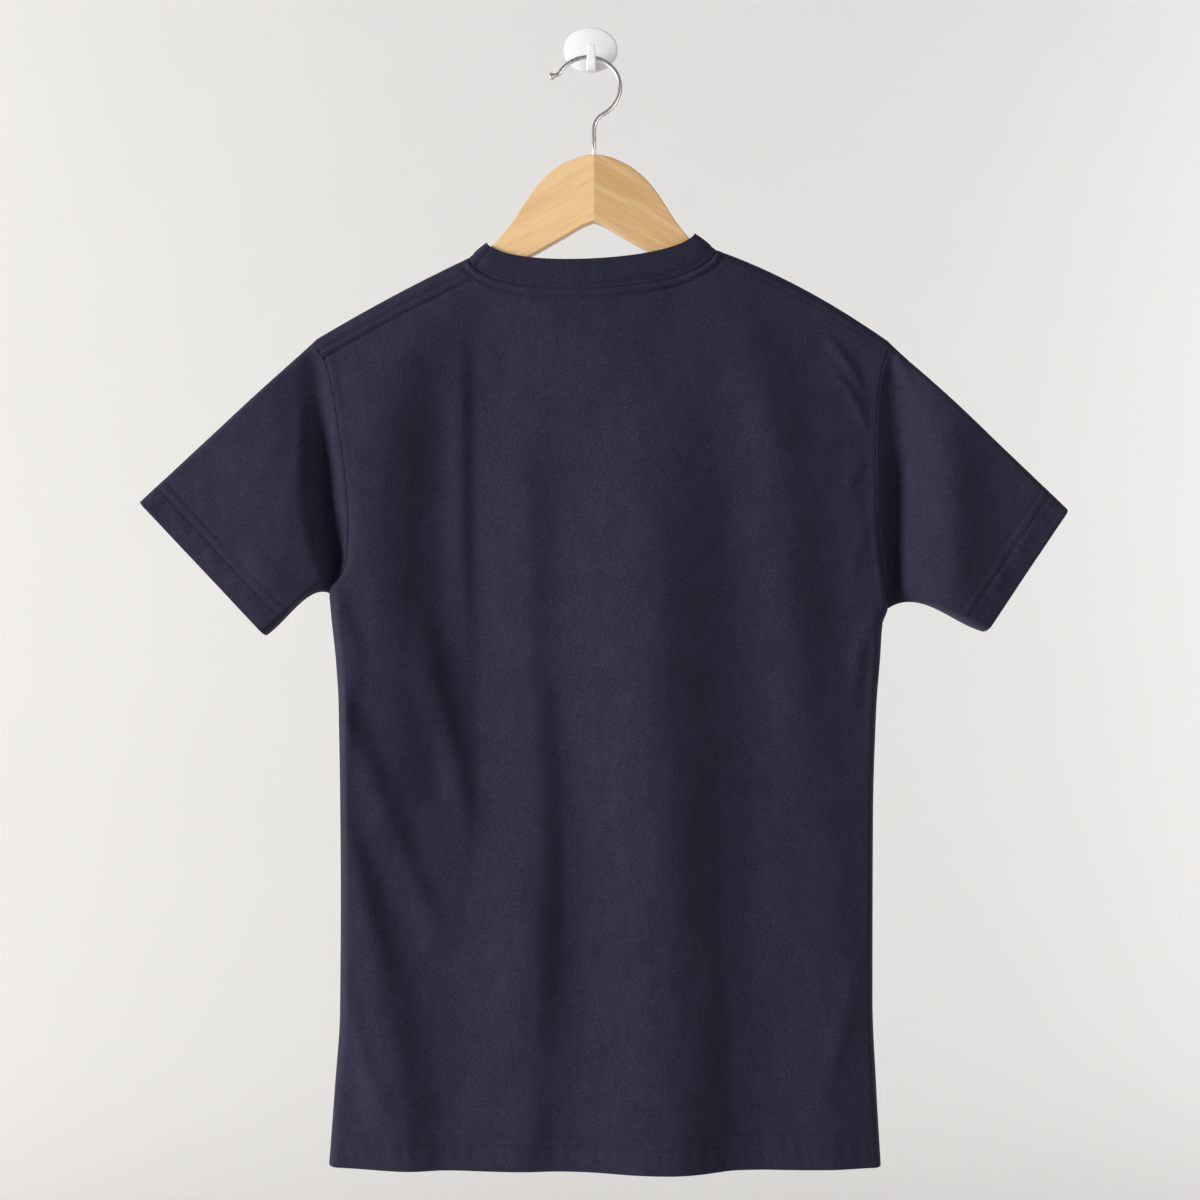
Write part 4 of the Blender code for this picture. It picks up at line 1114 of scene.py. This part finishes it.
# %% [markdown]
# ## Wire hook
#
# The hook is one length of plated wire, bent round pins and dipped at its tip, which leaves a
# small ball. We draw the end of the wire as a filled circle, extrude it up out of the wood, and
# spin it round the centre of each bend in turn. The ball is a few more extrusions that swell and
# close. At last the whole hook leans back to the wall, as it must to reach the wall hook.

# %% The wire
WIRE_RADIUS = 1.9
WIRE_FOOT = 6.0                      # how deep the wire is set into the wood
LOOP_RADIUS = 24.9
LOOP_CENTRE = (-2.1, -33.4)          # x and z
NECK_RADIUS = 15.5
NECK_TURN = 60.0
LOOP_TURN = 209.0
CURL_RADIUS = 7.0
CURL_TURN = 44.0
WIRE_TOP_Y = -11.0
WIRE_UPRIGHT = 6.0
BALL_PROFILE = (
    # distance past the last bend, radius
    (0.5, 2.2), (1.0, 2.7), (1.7, 3.1), (2.6, 3.3), (3.5, 3.1), (4.2, 2.7), (4.8, 2.0),
    (5.2, 1.2), (5.4, 0.4),
)


def wire_y(z):
    top, upright = LOOP_CENTRE[1] + LOOP_RADIUS, WOOD_TOP[0][1] + WIRE_UPRIGHT
    return lerp(WIRE_TOP_Y, HANGER_Y, min(1.0, (top - z) / (top - upright)))


def build_wire():
    foot = WOOD_TOP[0][1] - WIRE_FOOT
    bend = LOOP_CENTRE[1] - (LOOP_RADIUS + NECK_RADIUS) * math.sin(math.radians(NECK_TURN))
    bpy.ops.object.select_all(action="DESELECT")
    bpy.ops.mesh.primitive_circle_add(vertices=20, radius=WIRE_RADIUS * MM, fill_type="NGON",
                                      location=(HANGER_X * MM, 0.0, foot * MM))
    item = named("hanger_hook_wire", steel)
    start_edit(item)
    steps = 6
    for _ in range(steps):
        push(0.0, 0.0, (bend - foot) / steps)
    x, z, heading = HANGER_X, bend, 90.0
    for radius, turn in ((NECK_RADIUS, -NECK_TURN), (LOOP_RADIUS, LOOP_TURN),
                         (CURL_RADIUS, -CURL_TURN)):
        side = math.copysign(1.0, turn)
        centre_x = x - side * radius * math.sin(math.radians(heading))
        centre_z = z + side * radius * math.cos(math.radians(heading))
        bpy.ops.mesh.spin(steps=round(abs(turn) / 5.0), angle=math.radians(turn),
                          center=(centre_x * MM, 0.0, centre_z * MM), axis=(0.0, 1.0, 0.0))
        heading += turn
        x = centre_x + side * radius * math.sin(math.radians(heading))
        z = centre_z - side * radius * math.cos(math.radians(heading))
    ahead = (math.cos(math.radians(heading)), math.sin(math.radians(heading)))
    done, wide = 0.0, WIRE_RADIUS
    for along, radius in BALL_PROFILE:
        push((along - done) * ahead[0], 0.0, (along - done) * ahead[1])
        x, z = x + (along - done) * ahead[0], z + (along - done) * ahead[1]
        scale_at((x, 0.0, z), radius / wide, radius / wide, radius / wide)
        done, wide = along, radius
    end_edit()
    for vertex in item.data.vertices:
        vertex.co.y += wire_y(vertex.co.z / MM) * MM
    item.data.shade_smooth()
    places = [vertex.co.x / MM for vertex in item.data.vertices]
    print("wire hook from x", round(min(places), 1), "to", round(max(places), 1))
    return item


hanger_wire = build_wire()

# %% [markdown]
# ## Wall hook
#
# The wall hook is injection moulded: a thin oval plate with a domed face, which is glued to the
# wall, and a J that stands out of it and carries the wire. The plate is a filled circle drawn to
# an oval, extruded and domed ring by ring. The J starts as a plane in the plate, and is extruded
# along its route, turning and thinning as it goes. A boolean union then joins the two.

# %% The wall hook
PLATE_WIDTH = 42.4
PLATE_HEIGHT = 35.3
PLATE_THICKNESS = 2.2
PLATE_RIM = 0.35         # share of the thickness that the straight rim takes
PLATE_ROUND = 1.6        # width over which the rim turns into the face
PLATE_DOME = 2.2
PLATE_RINGS = 14
J_X = 0.4
J_SECTIONS = (
    # inner y, inner z, outer y, outer z, width
    (-0.8, -11.4, -0.8, -16.0, 7.4),
    (-5.5, -11.4, -5.5, -18.4, 7.2),
    (-9.6, -11.4, -10.2, -19.9, 7.4),
    (-12.2, -11.3, -13.6, -19.0, 7.6),
    (-13.2, -10.7, -16.0, -16.6, 7.2),
    (-13.6, -9.4, -17.0, -13.0, 6.7),
    (-13.7, -6.0, -17.1, -7.6, 6.3),
    (-13.7, -2.0, -17.0, -2.6, 6.0),
    (-14.2, -0.1, -16.6, -0.2, 5.6),
    (-14.9, 0.7, -15.8, 0.7, 4.6),
)


def build_plate():
    rim = PLATE_WIDTH / 2.0
    bpy.ops.object.select_all(action="DESELECT")
    bpy.ops.mesh.primitive_circle_add(vertices=96, radius=rim * MM, fill_type="NGON",
                                      rotation=(math.radians(90), 0.0, 0.0))
    item = named("wall_hook_moulding", plastic)
    start_edit(item)
    scale_at((0.0, 0.0, 0.0), 1.0, 1.0, PLATE_HEIGHT / PLATE_WIDTH)
    y, share = -PLATE_RIM * PLATE_THICKNESS, 1.0
    push(0.0, y, 0.0)
    for k in range(1, PLATE_RINGS + 1):
        turn = 0.5 * math.pi * k / PLATE_RINGS
        new_share = math.cos(turn) ** 0.85 if k < PLATE_RINGS else 0.02
        rounded = float(quarter((1.0 - new_share) * rim / PLATE_ROUND))
        new_y = (-PLATE_THICKNESS * lerp(PLATE_RIM, 1.0, rounded)
                 - PLATE_DOME * (1.0 - new_share ** 2))
        push(0.0, new_y - y, 0.0)
        scale_at((0.0, new_y, 0.0), new_share / share, 1.0, new_share / share)
        y, share = new_y, new_share
    end_edit()
    return item


def build_j():
    rows = [(Vector((J_X, (a + c) / 2.0, (b + d) / 2.0)), math.hypot(a - c, b - d),
             math.atan2(b - d, a - c), width) for a, b, c, d, width in J_SECTIONS]
    middle, length, angle, width = rows[0]
    bpy.ops.object.select_all(action="DESELECT")
    bpy.ops.mesh.primitive_plane_add(size=MM, location=middle * MM,
                                     rotation=(math.radians(90), 0.0, 0.0))
    item = named("j", plastic)
    start_edit(item)
    scale_at(middle, width, 1.0, length)
    for new_middle, new_length, new_angle, new_width in rows[1:]:
        push(*(new_middle - middle))
        scale_at(new_middle, new_width / width, new_length / length, new_length / length)
        bpy.ops.transform.rotate(value=angle - new_angle, orient_axis="X",
                                 center_override=new_middle * MM)
        middle, length, angle, width = new_middle, new_length, new_angle, new_width
    end_edit()
    bevel = item.modifiers.new("edges", "BEVEL")
    bevel.width = 0.9 * MM
    bevel.segments = 3
    bevel.limit_method = "ANGLE"
    bevel.angle_limit = math.radians(50)
    smoothing = item.modifiers.new("smooth", "SUBSURF")
    smoothing.levels = smoothing.render_levels = 2
    apply_all(item)
    return item


def build_wall_hook():
    plate, j = build_plate(), build_j()
    join = plate.modifiers.new("one moulding", "BOOLEAN")
    join.operation = "UNION"
    join.object = j
    apply_all(plate)
    bpy.data.objects.remove(j)
    select_only(plate)
    bpy.ops.object.shade_smooth_by_angle(angle=math.radians(38))
    return plate


wall_hook = build_wall_hook()

# %% [markdown]
# ## Stitches
#
# Hem and cuffs are sewn with a twin needle, which leaves two rows of stitches, and single rows
# hold the neck seam, the rib and the shoulder seams flat. The thread's colour is painted darker
# than the cloth, as painted shade of the sunk stitches, so the rows show as fine dark dashes. One
# stitch is modelled, a sphere drawn out to a grain, and its mesh is repeated along each row. A ray
# from outside finds the cloth under both of its ends, and gives the stitch its place and its turn.

# %% One stitch
STITCH_PITCH = 3.0
STITCH_SIZE = (2.2, 0.8, 0.5)        # length, width and height
STITCH_HALF = 1.05                   # from a stitch's middle to where it enters the cloth
STEEPEST = 1.6                       # the most that a stitch may rise from end to end
RAY_START = 0.3                      # how far outside the shirt a ray sets out, in metres


def build_stitch():
    bpy.ops.object.select_all(action="DESELECT")
    bpy.ops.mesh.primitive_uv_sphere_add(segments=6, ring_count=4, radius=0.5 * MM,
                                         rotation=(0.0, math.radians(90), 0.0))
    item = named("stitch", thread.material)
    start_edit(item)
    scale_at((0.0, 0.0, 0.0), *STITCH_SIZE)
    end_edit()
    return item


stitch = build_stitch()


# %% Rows of stitches
def sew(name, cloth, rows):
    """Stitches on a cloth, along rows of (facing, x, z). Facing is 1 at the back of the shirt."""
    tree = BVHTree.FromPolygons([vertex.co for vertex in cloth.data.vertices],
                                [face.vertices for face in cloth.data.polygons])
    shape = np.array([vertex.co for vertex in stitch.data.vertices])
    faces, caps = (np.array([list(face.vertices) for face in stitch.data.polygons
                             if len(face.vertices) == corners]) for corners in (4, 3))
    points = []
    for facing, x, z in rows:
        along = np.concatenate([[0.0], np.cumsum(np.hypot(np.diff(x), np.diff(z)))])
        for place in np.arange(STITCH_PITCH, along[-1] - STITCH_PITCH / 2.0, STITCH_PITCH):
            ends = []
            for spot in (place - STITCH_HALF, place + STITCH_HALF):
                start = Vector((np.interp(spot, along, x) * MM, -RAY_START * facing,
                                np.interp(spot, along, z) * MM))
                ends.append(tree.ray_cast(start, Vector((0.0, facing, 0.0))))
            (first, out, *_), (last, _out, *_) = ends
            if first is None or last is None or abs(first.y - last.y) > STEEPEST * MM:
                continue
            ahead = (last - first).normalized()
            aside = out.cross(ahead).normalized()
            turn = np.array([ahead, aside, ahead.cross(aside)])
            points.append(shape @ turn + np.array((first + last) / 2.0))
    shift = np.arange(len(points))[:, None, None] * len(shape)
    polygons = (faces + shift).reshape(-1, 4).tolist() + (caps + shift).reshape(-1, 3).tolist()
    print(name, "has", len(points), "stitches")
    return mesh_object(name, np.concatenate(points), polygons, thread.material)


def hem_rows(facing):
    x = np.linspace(EDGES["left"][-1][1] + 4.0, EDGES["right"][-1][1] - 4.0, 80)
    return [(facing, x, np.full_like(x, HEM_Z + line)) for line in HEM_LINES]


def neck_row(facing, edge, distance):
    """A row beside the neck seam: below it on the panel, or above it on the rib."""
    panel = "back" if facing > 0.0 else "front"
    across = np.linspace(0.01, 0.99, 160)
    x, z = neck_point(panel, across, "seam")
    if edge == "rib":
        edge_x, edge_z = neck_point(panel, across, "edge")
        share = distance / RIB_WIDTH
        return facing, lerp(x, edge_x, share), lerp(z, edge_z, share)
    slope_x, slope_z = np.gradient(x), np.gradient(z)
    length = np.hypot(slope_x, slope_z)
    return facing, x + slope_z / length * distance, z - slope_x / length * distance


def shoulder_rows():
    rows = []
    for side, lines in SHOULDER_LINES.items():
        neck_x, tip_x = SHOULDERS[side][0], SHOULDERS[side][2]
        out = math.copysign(1.0, tip_x)
        x = np.linspace(neck_x + 12.0 * out, tip_x - 3.0 * out, 60)
        rows += [(1.0, x, ridge_z(x) - line / SHOULDER_SLOPE) for line in lines]
    return rows


def cuff_rows(side):
    rows = []
    q = np.linspace(0.03, 0.97, 60)
    for facing in (1.0, -1.0):
        for line in CUFF_LINES:
            ways = np.full_like(q, facing)
            length = sleeve_surface(side, np.ones_like(q), q, ways)[1]
            points = sleeve_surface(side, 1.0 - line / length, q, ways)[0]
            rows.append((facing, points[:, 0], points[:, 2]))
    return rows


back_stitches = sew("back_stitches", back_cloth,
                    hem_rows(1.0) + shoulder_rows() + [neck_row(1.0, "panel", NECK_LINE)])
front_stitches = sew("front_stitches", front_cloth,
                     hem_rows(-1.0) + [neck_row(-1.0, "panel", NECK_LINE)])
left_stitches = sew("sleeve_stitches_left", sleeve_left, cuff_rows("left"))
right_stitches = sew("sleeve_stitches_right", sleeve_right, cuff_rows("right"))
rib_stitches = sew("rib_stitches", neck_rib,
                   [neck_row(1.0, "rib", RIB_LINE), neck_row(-1.0, "rib", RIB_LINE)])
bpy.data.objects.remove(stitch)

# %% [markdown]
# ## Floor, backdrop and light
#
# The studio is a pale sheet that runs along the floor and sweeps up far behind the shirt. Daylight
# in such a picture comes from one side, so the main light is a large soft area light at the left,
# and a dim one fills in from the right. The world adds a little light from all around.

# %% Stage
FLOOR_Z = -1.8           # the stage's sizes are in metres
FLOOR_HALF = (6.0, 3.0)
BACKDROP_Y = 2.9
BACKDROP_HEIGHT = 4.5
SWEEP_RADIUS = 0.7
SHIRT_MIDDLE = (0.0, 0.0, -0.45)
LIGHTS = (
    # name, place, aim, size, power, colour
    ("window", (-5.2, -2.6, 0.1), SHIRT_MIDDLE, (2.4, 3.2), 412.0, (1.0, 0.985, 0.96)),
    ("fill", (2.2, -1.9, -0.2), SHIRT_MIDDLE, (1.8, 1.8), 11.0, (0.96, 0.98, 1.0)),
    ("backdrop light", (2.3, 0.5, -0.2), (2.3, 2.9, -0.3), (1.4, 2.4), 34.0, (1.0, 0.985, 0.97)),
    ("top fill", (0.55, -0.85, 0.35), (0.05, -0.03, -0.12), (0.4, 0.4), 1.4, (1.0, 0.99, 0.97)),
)


def build_stage():
    paper = Finish("pale paper", 0.95)
    tone = paper.noise(paper.place(), 3.0, 2.0)
    paper.set(paper.shader, Base_Color=paper.blend(tone, (0.705, 0.697, 0.69),
                                                   (0.728, 0.720, 0.712)))
    bpy.ops.object.select_all(action="DESELECT")
    bpy.ops.mesh.primitive_plane_add(size=2.0, location=(0.0, 0.0, FLOOR_Z))
    bpy.context.object.scale = (*FLOOR_HALF, 1.0)
    item = named("studio_sweep", paper.material)
    start_edit(item)
    back = BACKDROP_Y - SWEEP_RADIUS
    select_edges(item, lambda a, b: min(a.y, b.y) > 0.0)
    bpy.ops.transform.translate(value=(0.0, back - FLOOR_HALF[1], 0.0))
    bpy.ops.mesh.spin(steps=24, angle=math.radians(-90), axis=(-1.0, 0.0, 0.0),
                      center=(0.0, back, FLOOR_Z + SWEEP_RADIUS))
    push(0.0, 0.0, BACKDROP_HEIGHT / MM)
    bpy.ops.mesh.select_mode(type="FACE")
    end_edit()
    item.data.shade_smooth()


def area_light(name, place, aim, size, power, colour):
    data = bpy.data.lights.new(name, "AREA")
    data.shape = "RECTANGLE"
    data.size, data.size_y = size
    data.energy = power
    data.color = colour
    light = bpy.data.objects.new(name, data)
    light.location = place
    light.rotation_euler = (Vector(aim) - Vector(place)).to_track_quat("-Z", "Y").to_euler()
    bpy.context.scene.collection.objects.link(light)


build_stage()
for row in LIGHTS:
    area_light(*row)

world = bpy.data.worlds.new("studio")
bpy.context.scene.world = world
world.use_nodes = True
background = world.node_tree.nodes["Background"]
background.inputs["Color"].default_value = (0.86, 0.87, 0.88, 1.0)
background.inputs["Strength"].default_value = 0.27

# %% [markdown]
# ## Attaching the pieces
#
# Every piece is attached to the root body, the frame's node that it replaces is hidden, and the
# area of one side is printed. The stitches of each cloth piece are attached to the root body too.

# %% Attach the pieces
PIECES = (
    # piece, node, slot
    (back_cloth, "back_panel", "jersey"),
    (front_cloth, "front_panel", "jersey"),
    (sleeve_left, "sleeve_left", "jersey"),
    (sleeve_right, "sleeve_right", "jersey"),
    (neck_rib, "neck_rib", "rib_knit"),
    (hanger_arms, "hanger_wood", "wood"),
    (hanger_wire, "hanger_wire", "steel_wire"),
    (wall_hook, "wall_hook", "white_plastic"),
)
for piece, node, slot in PIECES:
    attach(piece, "root")
    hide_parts(node)
    one_side = sum(face.area for face in piece.data.polygons) / 2.0
    print(piece.name, "replaces", node, "area", round(one_side, 4))

SEWN = (
    # cloth, its stitches, slot, flat width and length, flat area, how it is held
    (back_cloth, back_stitches, "jersey", (0.46, 0.71), 0.292, "hung"),
    (front_cloth, front_stitches, "jersey", (0.46, 0.71), 0.282, "hung"),
    (sleeve_left, left_stitches, "jersey", (0.42, 0.19), 0.058, "hung"),
    (sleeve_right, right_stitches, "jersey", (0.42, 0.19), 0.058, "hung"),
    (neck_rib, rib_stitches, "rib_knit", (0.50, 0.042), 0.020, "stretched"),
)
for cloth, stitches, slot, flat, area, held in SEWN:
    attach(stitches, "root")
